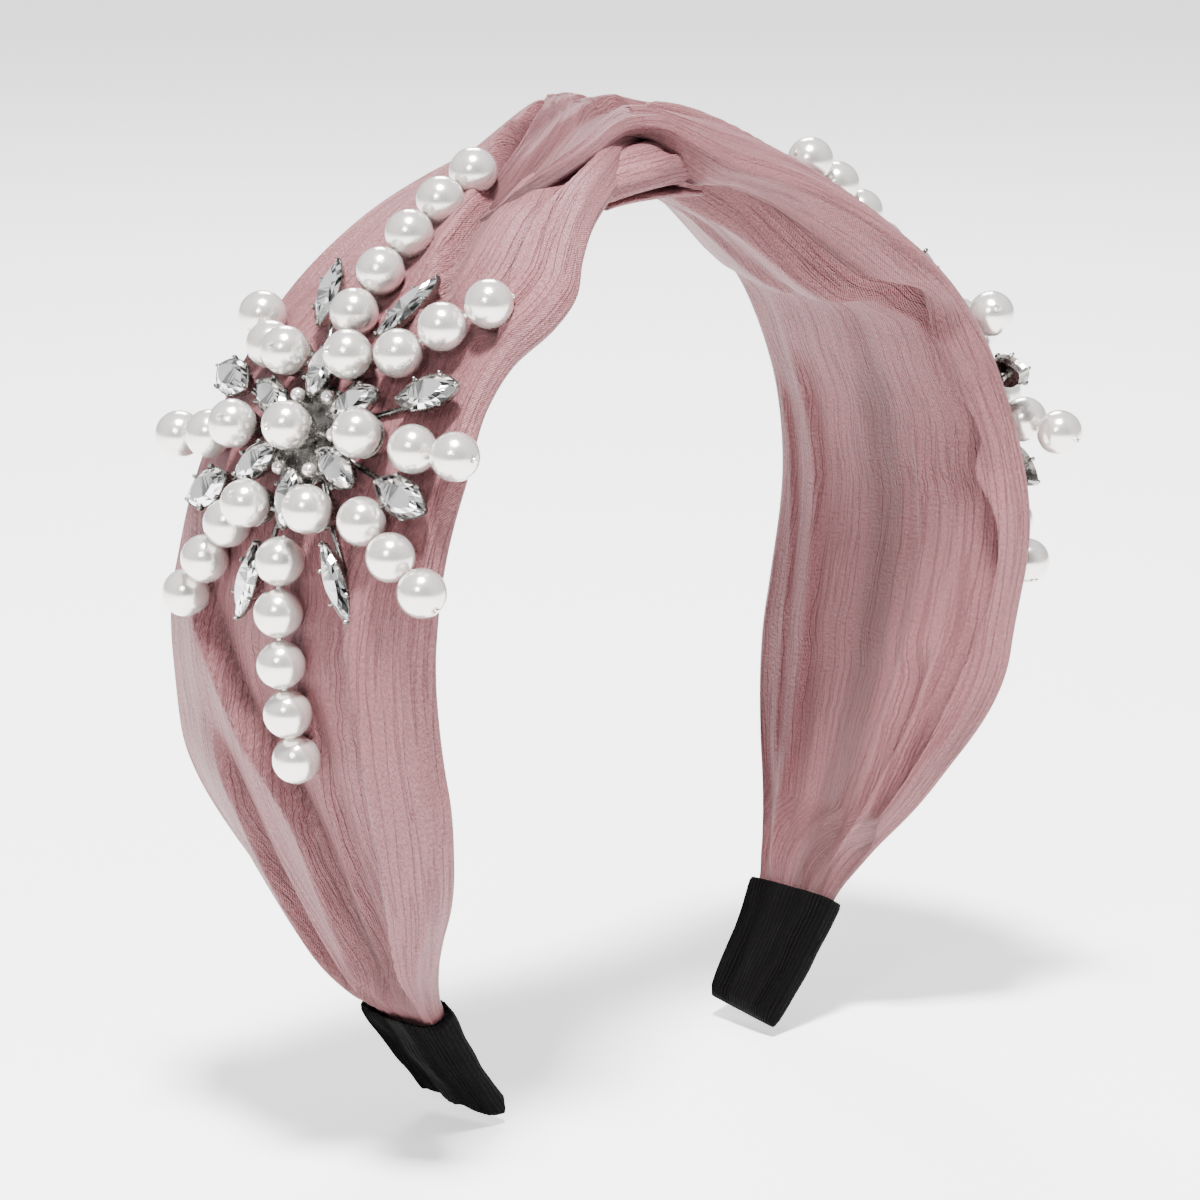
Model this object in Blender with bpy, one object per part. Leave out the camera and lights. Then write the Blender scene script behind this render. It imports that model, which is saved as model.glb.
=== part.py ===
"""Twist-knot fabric headband with a pearl and crystal brooch on each side.

Row frame: +X to the wearer's left, which is the right-hand side seen from the front, +Y to the
back of the head, +Z up. The origin is the middle of the flat lining under the crown, where the
band rests on the head. Lengths are in metres.
"""

import math

import bmesh
import bpy
from mathutils import Matrix, Vector

# Hoop centreline: one arc over the head, then a flatter arc down each leg.
CROWN_RADIUS = 0.069
CROWN_ANGLE = math.radians(97.0)
LEG_RADIUS = 0.150
LEG_ANGLE = math.radians(33.5)

# Covered springy core of the hoop.
CORE_WIDTH = 0.0105
CORE_THICKNESS = 0.0022
CORE_ROUND = 0.0006

# Running gap between neighbouring pieces.
GAP = 0.0003

# Fabric cover, measured from the core: half widths to the front and the back, then heights.
FRONT_AT_CROWN = 0.0185
FRONT_AT_SIDE = 0.0320
BACK_AT_CROWN = 0.0170
BACK_AT_SIDE = 0.0275
HALF_AT_SLEEVE = 0.0092
FULL_WIDTH_FROM = 0.080
FULL_WIDTH_TO = 0.130
COVER_OUTSIDE = 0.0048
COVER_INSIDE = 0.0032
COVER_EDGE = 0.0016
NECK_LENGTH = 0.006
NECK_HALF_THICKNESS = 0.0022
NECK_SHARE = 0.88

# Lining under the crown.
LINING_LENGTH = 0.024
LINING_WIDTH = 0.022
LINING_THICKNESS = 0.0022
LINING_GAP = 0.0005

# Where an arm starts to flex, along the hoop from the crown.
FLEX_AT = 0.018

# Knitted end sleeve.
SLEEVE_LENGTH = 0.0240
SLEEVE_HALF_WIDTH = 0.0098
SLEEVE_TIP_HALF_WIDTH = 0.0082
SLEEVE_HALF_THICKNESS = 0.0034
SLEEVE_TIP_HALF_THICKNESS = 0.0026
SLEEVE_TIP_WALL = 0.0018
MOUTH_ROUND = 0.0001

# Knot band, which runs slantwise over the crown and turns under the front edge.
BAND_HALF_WIDTH = 0.0065
BAND_HALF_THICKNESS = 0.0018
BAND_SLANT = math.radians(20.0)
BAND_TUCK = 0.0035
BAND_TUCK_DROP = 0.0006
BAND_GAP = 0.0010

# Brooches, the same piece on both sides. Each has its centre along the hoop and across it, and
# the way across the hoop that its three o'clock points: 1 to the front, -1 to the back.
LEFT_BROOCH = (0.078, -0.0015, 1)
RIGHT_BROOCH = (0.088, -0.0065, -1)
PEARL_DIAMETER = 0.008
PEARL_PITCH = 0.0083

# Pearl size that the brooch's distances are given for; they grow with a larger pearl.
STOCK_PEARL = 0.008
THREAD_DIAMETER = 0.0008
RING_RADIUS = 0.0144
RING_TURN = 25.0
RING_COUNT = 6
RING_LIFT = 0.0026
CENTRE_LIFT = 0.0036

# Pearl strings: hour on the brooch's face, angle in degrees, first pearl, count.
STRINGS = (
    (12, 0.0, 0.0212, 5),
    (1, 40.0, 0.0208, 3),
    (3, 87.0, 0.0236, 2),
    (4, 124.0, 0.0212, 3),
    (6, 176.0, 0.0210, 5),
    (7, 217.0, 0.0212, 3),
    (9, 262.0, 0.0236, 2),
    (10, 310.0, 0.0208, 2),
)

# Stones: a six-petal flower round the middle pearl, slim and broad navettes further out.
PETAL_RADIUS = 0.0108
PETAL_TURN = 55.0
PETAL_LENGTH = 0.0102
PETAL_WIDTH = 0.0054
SLIM_LENGTH = 0.0140
SLIM_WIDTH = 0.0042
SLIM_RADIUS = 0.0262
BROAD_LENGTH = 0.0114
BROAD_WIDTH = 0.0060
BROAD_RADIUS = 0.0242
STONE_CROWN = 0.0012
STONE_PAVILION = 0.0011
PETAL_LIFT = 0.0042
NAVETTE_LIFT = 0.0034
KEEL_SHARE = 0.22
TABLE_SHARE = 0.62

# Outer navettes: hour on the brooch's face, angle in degrees, slim or broad.
NAVETTES = (
    (1, 21.0, "slim"),
    (2, 63.0, "broad"),
    (4, 106.0, "broad"),
    (5, 149.0, "slim"),
    (7, 195.0, "slim"),
    (8, 240.0, "broad"),
    (10, 287.0, "broad"),
    (11, 339.0, "slim"),
)

# Metal setting under the stones.
WIRE_RADIUS = 0.0005
WIRE_LIFT = 0.0009
HUB_RADIUS = 0.0086
HUB_THICKNESS = 0.0010
SPOKE_FROM = 0.0040
CUP_RADIUS = 0.0024
CUP_HEIGHT = 0.0016
SEAT_RADIUS = 0.0016
SEAT_HEIGHT = 0.0009
BEAD_DIAMETER = 0.0024
BEAD_RADIUS = 0.0070

STATION_PITCH = 0.009
STRING_SIDES = 8
SECTION_STEPS = 6

HOOP_HALF_LENGTH = CROWN_RADIUS * CROWN_ANGLE + LEG_RADIUS * LEG_ANGLE
SLEEVE_FROM = HOOP_HALF_LENGTH - SLEEVE_LENGTH
CROWN_HEIGHT = LINING_THICKNESS + LINING_GAP + COVER_INSIDE
PEARL_RADIUS = PEARL_DIAMETER / 2
BROOCH_SPREAD = PEARL_DIAMETER / STOCK_PEARL

FINISHES = {
    "dusty pink satin": ((0.62, 0.36, 0.38), 0.55, 0.0),
    "black covered core": ((0.02, 0.018, 0.018), 0.8, 0.0),
    "black ribbed knit": ((0.015, 0.012, 0.012), 0.9, 0.0),
    "pearl white": ((0.87, 0.85, 0.82), 0.15, 0.0),
    "clear crystal": ((0.85, 0.87, 0.9), 0.03, 0.0),
    "silver metal": ((0.6, 0.6, 0.6), 0.25, 1.0),
}


def clear_scene():
    """Remove every object of the start-up scene."""
    for obj in list(bpy.data.objects):
        bpy.data.objects.remove(obj, do_unlink=True)


def new_collection(name, hidden):
    """A collection in the scene, hidden from renders when it holds helpers."""
    collection = bpy.data.collections.new(name)
    collection.hide_render = hidden
    bpy.context.scene.collection.children.link(collection)
    return collection


def finish(name):
    """The material of that name, made the first time that it is asked for."""
    material = bpy.data.materials.get(name)
    if material is None:
        colour, roughness, metallic = FINISHES[name]
        material = bpy.data.materials.new(name)
        material.use_nodes = True
        shader = material.node_tree.nodes["Principled BSDF"]
        shader.inputs["Base Color"].default_value = (*colour, 1.0)
        shader.inputs["Roughness"].default_value = roughness
        shader.inputs["Metallic"].default_value = metallic
        material.diffuse_color = (*colour, 1.0)
    return material


def smoothstep(value):
    """Ease from 0 to 1 with level ends."""
    value = min(max(value, 0.0), 1.0)
    return value * value * (3.0 - 2.0 * value)


def mix(low, high, share):
    """The value that lies the given share of the way from low to high."""
    return low + (high - low) * share


def hoop(along):
    """Point (x, z) of the centreline and its turn, at a distance from the crown, on the +X side."""
    crown_length = CROWN_RADIUS * CROWN_ANGLE
    turn = min(along / CROWN_RADIUS, CROWN_ANGLE)
    x = CROWN_RADIUS * math.sin(turn)
    z = CROWN_RADIUS * (math.cos(turn) - 1.0)
    if along > crown_length:
        start = turn
        turn = start + (along - crown_length) / LEG_RADIUS
        x += LEG_RADIUS * (math.sin(turn) - math.sin(start))
        z += LEG_RADIUS * (math.cos(turn) - math.cos(start))
    return x, z, turn


def on_hoop(side, along, across, out):
    """World point on one side of the hoop, across it and out from its centreline."""
    x, z, turn = hoop(abs(along))
    if along < 0:
        side = -side
    x += out * math.sin(turn)
    z += out * math.cos(turn) + CROWN_HEIGHT
    return Vector((side * x, across, z))


def swell(along):
    """How far the fabric has opened out: 0 at the crown, 1 over the side, 0 again at the sleeve."""
    rise = smoothstep(abs(along) / FULL_WIDTH_FROM)
    fall = smoothstep((SLEEVE_FROM - abs(along)) / (SLEEVE_FROM - FULL_WIDTH_TO))
    return rise, fall


def cover_edges(along):
    """Front and back edge of the fabric, across the hoop."""
    rise, fall = swell(along)
    front = mix(HALF_AT_SLEEVE, mix(FRONT_AT_CROWN, FRONT_AT_SIDE, rise), fall)
    back = mix(HALF_AT_SLEEVE, mix(BACK_AT_CROWN, BACK_AT_SIDE, rise), fall)
    return -front, back


def cover_height(along, across, middle):
    """Height of the fabric from the core's middle, tallest over the core and thin at both edges."""
    front, back = cover_edges(along)
    share = 2.0 * (across - front) / (back - front) - 1.0
    return COVER_EDGE + (middle - COVER_EDGE) * max(0.0, 1.0 - share * share)


def cover_section(along):
    """Closed outline (across, out) of the fabric at one station."""
    front, back = cover_edges(along)
    points = []
    for step in range(SECTION_STEPS + 1):
        across = mix(front, back, 0.5 - 0.5 * math.cos(math.pi * step / SECTION_STEPS))
        points.append((across, cover_height(along, across, COVER_OUTSIDE)))
    for step in range(SECTION_STEPS + 1):
        across = mix(back, front, 0.5 - 0.5 * math.cos(math.pi * step / SECTION_STEPS))
        points.append((across, -cover_height(along, across, COVER_INSIDE)))
    return points


def box_section(half_width, half_thickness, cut):
    """Rectangle (across, out) with its corners cut off."""
    wide = half_width - cut
    thick = half_thickness - cut
    return [
        (-wide, half_thickness),
        (wide, half_thickness),
        (half_width, thick),
        (half_width, -thick),
        (wide, -half_thickness),
        (-wide, -half_thickness),
        (-half_width, -thick),
        (-half_width, thick),
    ]


def loft(name, rings):
    """Mesh through closed rings of points, with both ends filled and all faces turned outwards."""
    mesh = bmesh.new()
    rows = [[mesh.verts.new(point) for point in ring] for ring in rings]
    count = len(rows[0])
    for row, following in zip(rows, rows[1:]):
        for step in range(count):
            after = (step + 1) % count
            mesh.faces.new((row[step], row[after], following[after], following[step]))
    mesh.faces.new(rows[0])
    mesh.faces.new(rows[-1])
    bmesh.ops.recalc_face_normals(mesh, faces=mesh.faces)
    data = bpy.data.meshes.new(name)
    mesh.to_mesh(data)
    mesh.free()
    return data


def stations(start, end):
    """Distances along the hoop from start to end, on one pitch that every sweep shares."""
    first = math.floor(start / STATION_PITCH) + 1
    last = math.ceil(end / STATION_PITCH) - 1
    return [start, *(STATION_PITCH * number for number in range(first, last + 1)), end]


def swept(name, side, section_at, distances):
    """Mesh of a section carried along the hoop."""
    rings = []
    for along in distances:
        rings.append([on_hoop(side, along, across, out) for across, out in section_at(along)])
    return loft(name, rings)


def add(name, data, collection, material, origin=None, parent=None):
    """Object for a mesh given in world coordinates, with its origin and parent set."""
    origin = origin or Vector((0.0, 0.0, 0.0))
    data.transform(Matrix.Translation(-origin))
    obj = bpy.data.objects.new(name, data)
    if material:
        data.materials.append(finish(material))
    collection.objects.link(obj)
    obj.parent = parent
    obj.location = origin - parent.location if parent else origin
    return obj


def boolean(obj, other, operation):
    """Boolean modifier on obj with another solid."""
    modifier = obj.modifiers.new(other.name, "BOOLEAN")
    modifier.operation = operation
    modifier.object = other
    modifier.solver = "EXACT"


def as_cutter(obj):
    """Show a helper solid as wire only."""
    obj.display_type = "WIRE"
    obj.hide_render = True
    return obj


def fuse(name, solids):
    """One mesh out of overlapping meshes, given in world coordinates."""
    base = bpy.data.objects.new(name, solids[0])
    bpy.context.scene.collection.objects.link(base)
    helpers = []
    for number, data in enumerate(solids[1:]):
        helper = bpy.data.objects.new(f"{name}_{number}", data)
        bpy.context.scene.collection.objects.link(helper)
        boolean(base, helper, "UNION")
        helpers.append(helper)
    graph = bpy.context.evaluated_depsgraph_get()
    fused = bpy.data.meshes.new_from_object(base.evaluated_get(graph))
    for obj in (base, *helpers):
        bpy.data.objects.remove(obj, do_unlink=True)
    fused.name = name
    return fused


def tube(name, points, radius, closed=False):
    """Mesh of a round wire through the points."""
    curve = bpy.data.curves.new(name, "CURVE")
    curve.dimensions = "3D"
    curve.bevel_depth = radius
    curve.bevel_resolution = 0
    curve.use_fill_caps = not closed
    spline = curve.splines.new("POLY")
    spline.points.add(len(points) - 1)
    for place, point in zip(spline.points, points):
        place.co = (*point, 1.0)
    spline.use_cyclic_u = closed
    obj = bpy.data.objects.new(name, curve)
    bpy.context.scene.collection.objects.link(obj)
    graph = bpy.context.evaluated_depsgraph_get()
    data = bpy.data.meshes.new_from_object(obj.evaluated_get(graph))
    bpy.data.objects.remove(obj, do_unlink=True)
    welded = bmesh.new()
    welded.from_mesh(data)
    bmesh.ops.remove_doubles(welded, verts=welded.verts, dist=1e-6)
    bmesh.ops.recalc_face_normals(welded, faces=welded.faces)
    welded.to_mesh(data)
    welded.free()
    return data


def ball(name, place, diameter, segments, rings):
    """Mesh of a ball at a place given by a matrix."""
    mesh = bmesh.new()
    bmesh.ops.create_uvsphere(
        mesh, u_segments=segments, v_segments=rings, radius=diameter / 2, matrix=place
    )
    for face in mesh.faces:
        face.smooth = True
    data = bpy.data.meshes.new(name)
    mesh.to_mesh(data)
    mesh.free()
    return data


def disc(name, place, radius, height, segments):
    """Mesh of a short cylinder whose middle and axis are given by a matrix."""
    mesh = bmesh.new()
    bmesh.ops.create_cone(
        mesh, cap_ends=True, segments=segments, radius1=radius, radius2=radius, depth=height, matrix=place
    )
    data = bpy.data.meshes.new(name)
    mesh.to_mesh(data)
    mesh.free()
    return data


def navette(name, place, length, width):
    """Mesh of a pointed oval stone, long along its own x, table upwards.

    The outline is two equal arcs that meet in a point at each end. The girdle is drawn in to a
    flat table above and to a narrow keel below.
    """
    arc_radius = (length * length / 4 + width * width / 4) / width
    half_angle = math.asin(length / 2 / arc_radius)
    steps = 5
    outline = []
    for flip in (1, -1):
        for step in range(steps):
            turn = mix(-half_angle, half_angle, step / steps)
            rise = arc_radius * (math.cos(turn) - math.cos(half_angle))
            outline.append((flip * arc_radius * math.sin(turn), flip * rise))
    rings = []
    for scale, height in ((KEEL_SHARE, -STONE_PAVILION), (1.0, 0.0), (TABLE_SHARE, STONE_CROWN)):
        rings.append([place @ Vector((x * scale, y * scale, height)) for x, y in outline])
    return loft(name, rings)


def brooch_place(side, angle, radius, lift):
    """Matrix on the fabric, from the brooch's middle: x outwards, z off the fabric.

    Distances are kept true where pearl centres lie, a pearl's radius over the fabric.
    """
    stretch = CROWN_RADIUS / (CROWN_RADIUS + COVER_OUTSIDE + PEARL_RADIUS)
    middle_along, middle_across, hand = LEFT_BROOCH if side < 0 else RIGHT_BROOCH
    upwards = math.cos(math.radians(angle)) * stretch * BROOCH_SPREAD
    forwards = math.sin(math.radians(angle)) * hand * BROOCH_SPREAD

    def point(at):
        along = middle_along - at * upwards
        across = middle_across - at * forwards
        front, back = cover_edges(along)
        held = min(max(across, front), back)
        return on_hoop(side, along, across, cover_height(along, held, COVER_OUTSIDE) + lift)

    nearby = PEARL_RADIUS / 8
    middle = point(radius)
    outwards = (point(radius + nearby) - point(radius - nearby)).normalized()
    turn = hoop(middle_along - radius * upwards)[2]
    normal = Vector((side * math.sin(turn), 0.0, math.cos(turn)))
    aside = normal.cross(outwards).normalized()
    normal = outwards.cross(aside)
    place = Matrix((outwards, aside, normal)).transposed().to_4x4()
    place.translation = middle
    return place


def build_core(parts, pivots):
    """Springy core in three lengths, split where the arms flex."""

    def section(along):
        return box_section(CORE_WIDTH / 2, CORE_THICKNESS / 2, CORE_ROUND)

    reach = FLEX_AT - GAP / 2
    data = swept("crown_core", 1, section, stations(-reach, reach))
    add("crown_core", data, parts, "black covered core")
    end = HOOP_HALF_LENGTH - SLEEVE_TIP_WALL - GAP
    for side, word in ((-1, "left"), (1, "right")):
        data = swept(f"{word}_core", side, section, stations(FLEX_AT + GAP / 2, end))
        pivot = pivots[side]
        add(f"{word}_core", data, parts, "black covered core", pivot.location.copy(), pivot)


def channel(name, side, start, end, helpers):
    """Cutter that clears the core, or a gathered neck, out of the piece round it."""

    def section(along):
        return box_section(CORE_WIDTH / 2 + GAP, CORE_THICKNESS / 2 + GAP, CORE_ROUND)

    data = swept(name, side, section, stations(start, end))
    return as_cutter(add(name, data, helpers, None))


def build_covers(parts, helpers, pivots):
    """Fabric leg on each side, with a gathered neck that goes into the end sleeve."""
    for side, word in ((-1, "left"), (1, "right")):
        shoulder = SLEEVE_FROM - GAP
        rings = []
        for along in stations(FLEX_AT + GAP / 2, shoulder):
            rings.append([on_hoop(side, along, a, o) for a, o in cover_section(along)])
        neck = []
        for across, out in cover_section(SLEEVE_FROM):
            neck.append((across * NECK_SHARE, math.copysign(NECK_HALF_THICKNESS, out)))
        for along in (shoulder, SLEEVE_FROM + NECK_LENGTH):
            rings.append([on_hoop(side, along, a, o) for a, o in neck])
        pivot = pivots[side]
        name = f"{word}_fabric_leg"
        cover = add(name, loft(name, rings), parts, "dusty pink satin", pivot.location.copy(), pivot)
        start = FLEX_AT - NECK_LENGTH
        end = SLEEVE_FROM + 2 * NECK_LENGTH
        boolean(cover, channel(f"{word}_leg_channel", side, start, end, helpers), "DIFFERENCE")


def build_sleeves(parts, helpers, pivots):
    """Knitted sleeve over each tip: closed at the tip, with a mouth for the gathered neck."""

    def section(along):
        share = (along - SLEEVE_FROM) / SLEEVE_LENGTH
        wide = mix(SLEEVE_HALF_WIDTH, SLEEVE_TIP_HALF_WIDTH, share)
        thick = mix(SLEEVE_HALF_THICKNESS, SLEEVE_TIP_HALF_THICKNESS, share)
        return box_section(wide, thick, thick / 2)

    def mouth(along):
        wide = HALF_AT_SLEEVE * NECK_SHARE + GAP
        return box_section(wide, NECK_HALF_THICKNESS + GAP, MOUTH_ROUND)

    for side, word in ((-1, "left"), (1, "right")):
        data = swept(f"{word}_end_sleeve", side, section, stations(SLEEVE_FROM, HOOP_HALF_LENGTH))
        pivot = pivots[side]
        name = f"{word}_end_sleeve"
        sleeve = add(name, data, parts, "black ribbed knit", pivot.location.copy(), pivot)
        start = SLEEVE_FROM - NECK_LENGTH
        end = HOOP_HALF_LENGTH - SLEEVE_TIP_WALL
        boolean(sleeve, channel(f"{word}_sleeve_channel", side, start, end, helpers), "DIFFERENCE")
        data = swept(f"{word}_mouth", side, mouth, stations(start, SLEEVE_FROM + NECK_LENGTH + GAP))
        cutter = as_cutter(add(f"{word}_mouth", data, helpers, None))
        boolean(sleeve, cutter, "DIFFERENCE")


def build_crown(parts, helpers):
    """Fabric round the core at the crown, with the lining under it."""
    reach = FLEX_AT - GAP / 2
    name = "knot_under_fold"
    data = swept(name, 1, cover_section, stations(-reach, reach))
    fold = add(name, data, parts, "dusty pink satin")
    cutter = channel("crown_channel", 1, -FLEX_AT - NECK_LENGTH, FLEX_AT + NECK_LENGTH, helpers)
    boolean(fold, cutter, "DIFFERENCE")

    rings = []
    for number in range(7):
        x = mix(-LINING_LENGTH / 2, LINING_LENGTH / 2, number / 6)
        along = CROWN_RADIUS * math.asin(x / (CROWN_RADIUS - COVER_INSIDE))
        ring = []
        for step in range(5):
            across = mix(-LINING_WIDTH / 2, LINING_WIDTH / 2, step / 4)
            depth = cover_height(along, across, COVER_INSIDE) + LINING_GAP
            ring.append(Vector((x, across, min(on_hoop(1, along, across, -depth).z, LINING_THICKNESS))))
        ring.append(Vector((x, LINING_WIDTH / 2, 0.0)))
        ring.append(Vector((x, -LINING_WIDTH / 2, 0.0)))
        rings.append(ring)
    add("crown_lining", loft("crown_lining", rings), parts, "dusty pink satin")


def build_knot(parts):
    """Band that slants over the crown, turns round its front edge and tucks under it."""
    clearance = BAND_GAP + BAND_HALF_THICKNESS
    lean = math.cos(BAND_SLANT)
    slide = math.sin(BAND_SLANT)
    edge = cover_edges(FLEX_AT)[0]
    back = cover_edges(0.0)[1]
    front = (BAND_HALF_WIDTH * slide - edge) / lean
    path = []
    for step in range(7):
        run = mix(-back / lean, front, step / 6)
        across = max(-run * lean, edge)
        path.append((run, cover_height(run * slide, across, COVER_OUTSIDE) + clearance))
    turn_radius = COVER_EDGE + clearance
    for step in range(1, 6):
        turn = math.pi * step / 5
        path.append((front + turn_radius * math.sin(turn), turn_radius * math.cos(turn)))
    path.append((front - BAND_TUCK, -turn_radius - BAND_TUCK_DROP))
    section = box_section(BAND_HALF_WIDTH, BAND_HALF_THICKNESS, BAND_HALF_THICKNESS / 2)
    rings = []
    for number, (run, out) in enumerate(path):
        before = path[max(number - 1, 0)]
        after = path[min(number + 1, len(path) - 1)]
        heading = Vector((after[0] - before[0], after[1] - before[1])).normalized()
        along = -run * slide
        turn = along / CROWN_RADIUS
        tangent = Vector((math.cos(turn), 0.0, -math.sin(turn)))
        normal = Vector((math.sin(turn), 0.0, math.cos(turn)))
        forward = -tangent * slide - Vector((0.0, lean, 0.0))
        sideways = tangent * lean - Vector((0.0, slide, 0.0))
        outwards = normal * heading.x - forward * heading.y
        middle = on_hoop(1, along, -run * lean, out)
        rings.append([middle + sideways * a + outwards * o for a, o in section])
    add("knot_over_band", loft("knot_over_band", rings), parts, "dusty pink satin")


def build_strings(parts, side, word, pivot):
    """Strings of threaded pearls that run out from the brooch over the fabric."""
    lift = PEARL_RADIUS + GAP
    thread = THREAD_DIAMETER / 2
    drilled = math.asin(thread / PEARL_RADIUS)
    spread = (drilled, math.pi / 4, math.pi / 2, math.pi * 3 / 4, math.pi - drilled)

    def ring(place, at, radius):
        turns = [math.tau * step / STRING_SIDES for step in range(STRING_SIDES)]
        return [place @ Vector((at, radius * math.cos(turn), radius * math.sin(turn))) for turn in turns]

    for hour, angle, first, count in STRINGS:
        rings = []
        for number in range(count):
            place = brooch_place(side, angle, first + PEARL_PITCH * number, lift)
            if number == 0:
                rings.append(ring(place, -PEARL_RADIUS - THREAD_DIAMETER, thread))
            for turn in spread:
                rings.append(ring(place, -PEARL_RADIUS * math.cos(turn), PEARL_RADIUS * math.sin(turn)))
            if number == count - 1:
                rings.append(ring(place, PEARL_RADIUS + THREAD_DIAMETER, thread))
        full = f"{word}_pearl_string_at_{hour}"
        add(full, loft(full, rings), parts, "pearl white", pivot.location.copy(), pivot)


def build_brooch(parts, side, word, pivot):
    """Pearls, stones and metal setting of one brooch."""
    pearl_lift = PEARL_RADIUS + GAP
    places = [("centre", brooch_place(side, 0.0, 0.0, pearl_lift + CENTRE_LIFT))]
    step = 360.0 / RING_COUNT
    for number in range(RING_COUNT):
        angle = RING_TURN + step * number
        places.append((f"ring_{number + 1}", brooch_place(side, angle, RING_RADIUS, pearl_lift + RING_LIFT)))
    for name, place in places:
        data = ball(f"{word}_{name}_pearl", place, PEARL_DIAMETER, 8, 6)
        middle = place.translation
        add(f"{word}_{name}_pearl", data, parts, "pearl white", middle, pivot)

    for hour, angle, shape in NAVETTES:
        slim = shape == "slim"
        length = SLIM_LENGTH if slim else BROAD_LENGTH
        width = SLIM_WIDTH if slim else BROAD_WIDTH
        radius = SLIM_RADIUS if slim else BROAD_RADIUS
        place = brooch_place(side, angle, radius, NAVETTE_LIFT)
        full = f"{word}_navette_at_{hour}"
        data = navette(full, place, length, width)
        add(full, data, parts, "clear crystal", place.translation, pivot)

    petals = []
    links = []
    for number in range(RING_COUNT):
        angle = PETAL_TURN + step * number
        place = brooch_place(side, angle, PETAL_RADIUS, PETAL_LIFT)
        petals.append(navette("petal", place, PETAL_LENGTH, PETAL_WIDTH))
        inner = PETAL_RADIUS - PETAL_LENGTH / 2 + PETAL_WIDTH / 4
        links.append(brooch_place(side, angle, inner, PETAL_LIFT).translation)
    petals.insert(0, tube("petal_link", links, STONE_PAVILION / 3, closed=True))
    full = f"{word}_stone_flower"
    origin = brooch_place(side, 0.0, 0.0, PETAL_LIFT).translation
    add(full, fuse(full, petals), parts, "clear crystal", origin, pivot)

    hub_place = brooch_place(side, 0.0, 0.0, WIRE_LIFT + HUB_THICKNESS / 2)
    solids = [disc("hub", hub_place, HUB_RADIUS, HUB_THICKNESS, 12)]
    for number in range(RING_COUNT):
        angle = RING_TURN + step * number
        line = [brooch_place(side, angle, at, WIRE_LIFT).translation for at in (SPOKE_FROM, RING_RADIUS)]
        solids.append(tube("spoke", line, WIRE_RADIUS))
        place = brooch_place(side, angle, RING_RADIUS, WIRE_LIFT + CUP_HEIGHT / 2 - WIRE_RADIUS / 2)
        solids.append(disc("cup", place, CUP_RADIUS, CUP_HEIGHT, 8))
        place = brooch_place(side, angle, BEAD_RADIUS, WIRE_LIFT + HUB_THICKNESS + BEAD_DIAMETER / 4)
        solids.append(ball("bead", place, BEAD_DIAMETER, 6, 4))
    for _, angle, shape in NAVETTES:
        reach = SLIM_RADIUS if shape == "slim" else BROAD_RADIUS
        run = (SPOKE_FROM, reach / 2, reach)
        line = [brooch_place(side, angle, at, WIRE_LIFT).translation for at in run]
        solids.append(tube("arm", line, WIRE_RADIUS))
        place = brooch_place(side, angle, reach, WIRE_LIFT + SEAT_HEIGHT / 2)
        solids.append(disc("seat", place, SEAT_RADIUS, SEAT_HEIGHT, 6))
    full = f"{word}_brooch_setting"
    origin = brooch_place(side, 0.0, 0.0, WIRE_LIFT).translation
    add(full, fuse(full, solids), parts, "silver metal", origin, pivot)


def build():
    """Build every piece of the headband."""
    clear_scene()
    parts = new_collection("Headband", hidden=False)
    helpers = new_collection("Cutters", hidden=True)
    pivots = {}
    for side, word in ((-1, "left"), (1, "right")):
        pivot = bpy.data.objects.new(f"{word}_arm_pivot", None)
        pivot.location = on_hoop(side, FLEX_AT, 0.0, COVER_OUTSIDE)
        parts.objects.link(pivot)
        pivots[side] = pivot
    build_core(parts, pivots)
    build_crown(parts, helpers)
    build_knot(parts)
    build_covers(parts, helpers, pivots)
    build_sleeves(parts, helpers, pivots)
    for side, word in ((-1, "left"), (1, "right")):
        build_strings(parts, side, word, pivots[side])
        build_brooch(parts, side, word, pivots[side])


build()
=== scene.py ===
"""Twist-knot satin headband with a pearl and crystal brooch on each side, dressed for looks.

Lengths are in metres. +X is the wearer's left, +Y the back of the head and +Z up. Along the hoop a
place is given by its distance from the crown, negative on the -X side; across it, negative is to the
front; and its height is counted outwards from the middle of the springy core.
"""

import logging
import math
from collections.abc import Callable, Iterable
from dataclasses import dataclass, replace
from enum import Enum

import bmesh
import bpy
import numpy as np
from mathutils import Matrix, Vector, noise


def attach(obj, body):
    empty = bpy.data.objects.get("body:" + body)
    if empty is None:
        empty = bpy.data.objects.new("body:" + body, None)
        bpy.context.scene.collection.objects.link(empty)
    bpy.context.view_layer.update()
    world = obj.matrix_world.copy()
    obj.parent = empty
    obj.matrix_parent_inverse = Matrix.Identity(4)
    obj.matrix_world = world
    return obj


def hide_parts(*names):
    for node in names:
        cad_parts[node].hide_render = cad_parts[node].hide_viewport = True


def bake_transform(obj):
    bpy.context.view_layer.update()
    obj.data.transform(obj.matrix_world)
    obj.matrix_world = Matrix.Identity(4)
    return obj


Array = np.ndarray
Colour = tuple[float, float, float]
Socket = bpy.types.NodeSocket
Shape = Callable[[Array, Array], tuple[Array, Array, Array, Array]]

LOG = logging.getLogger("headband")

SAME_PLACE = 1e-6
MILLIMETRES = 1000.0

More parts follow.
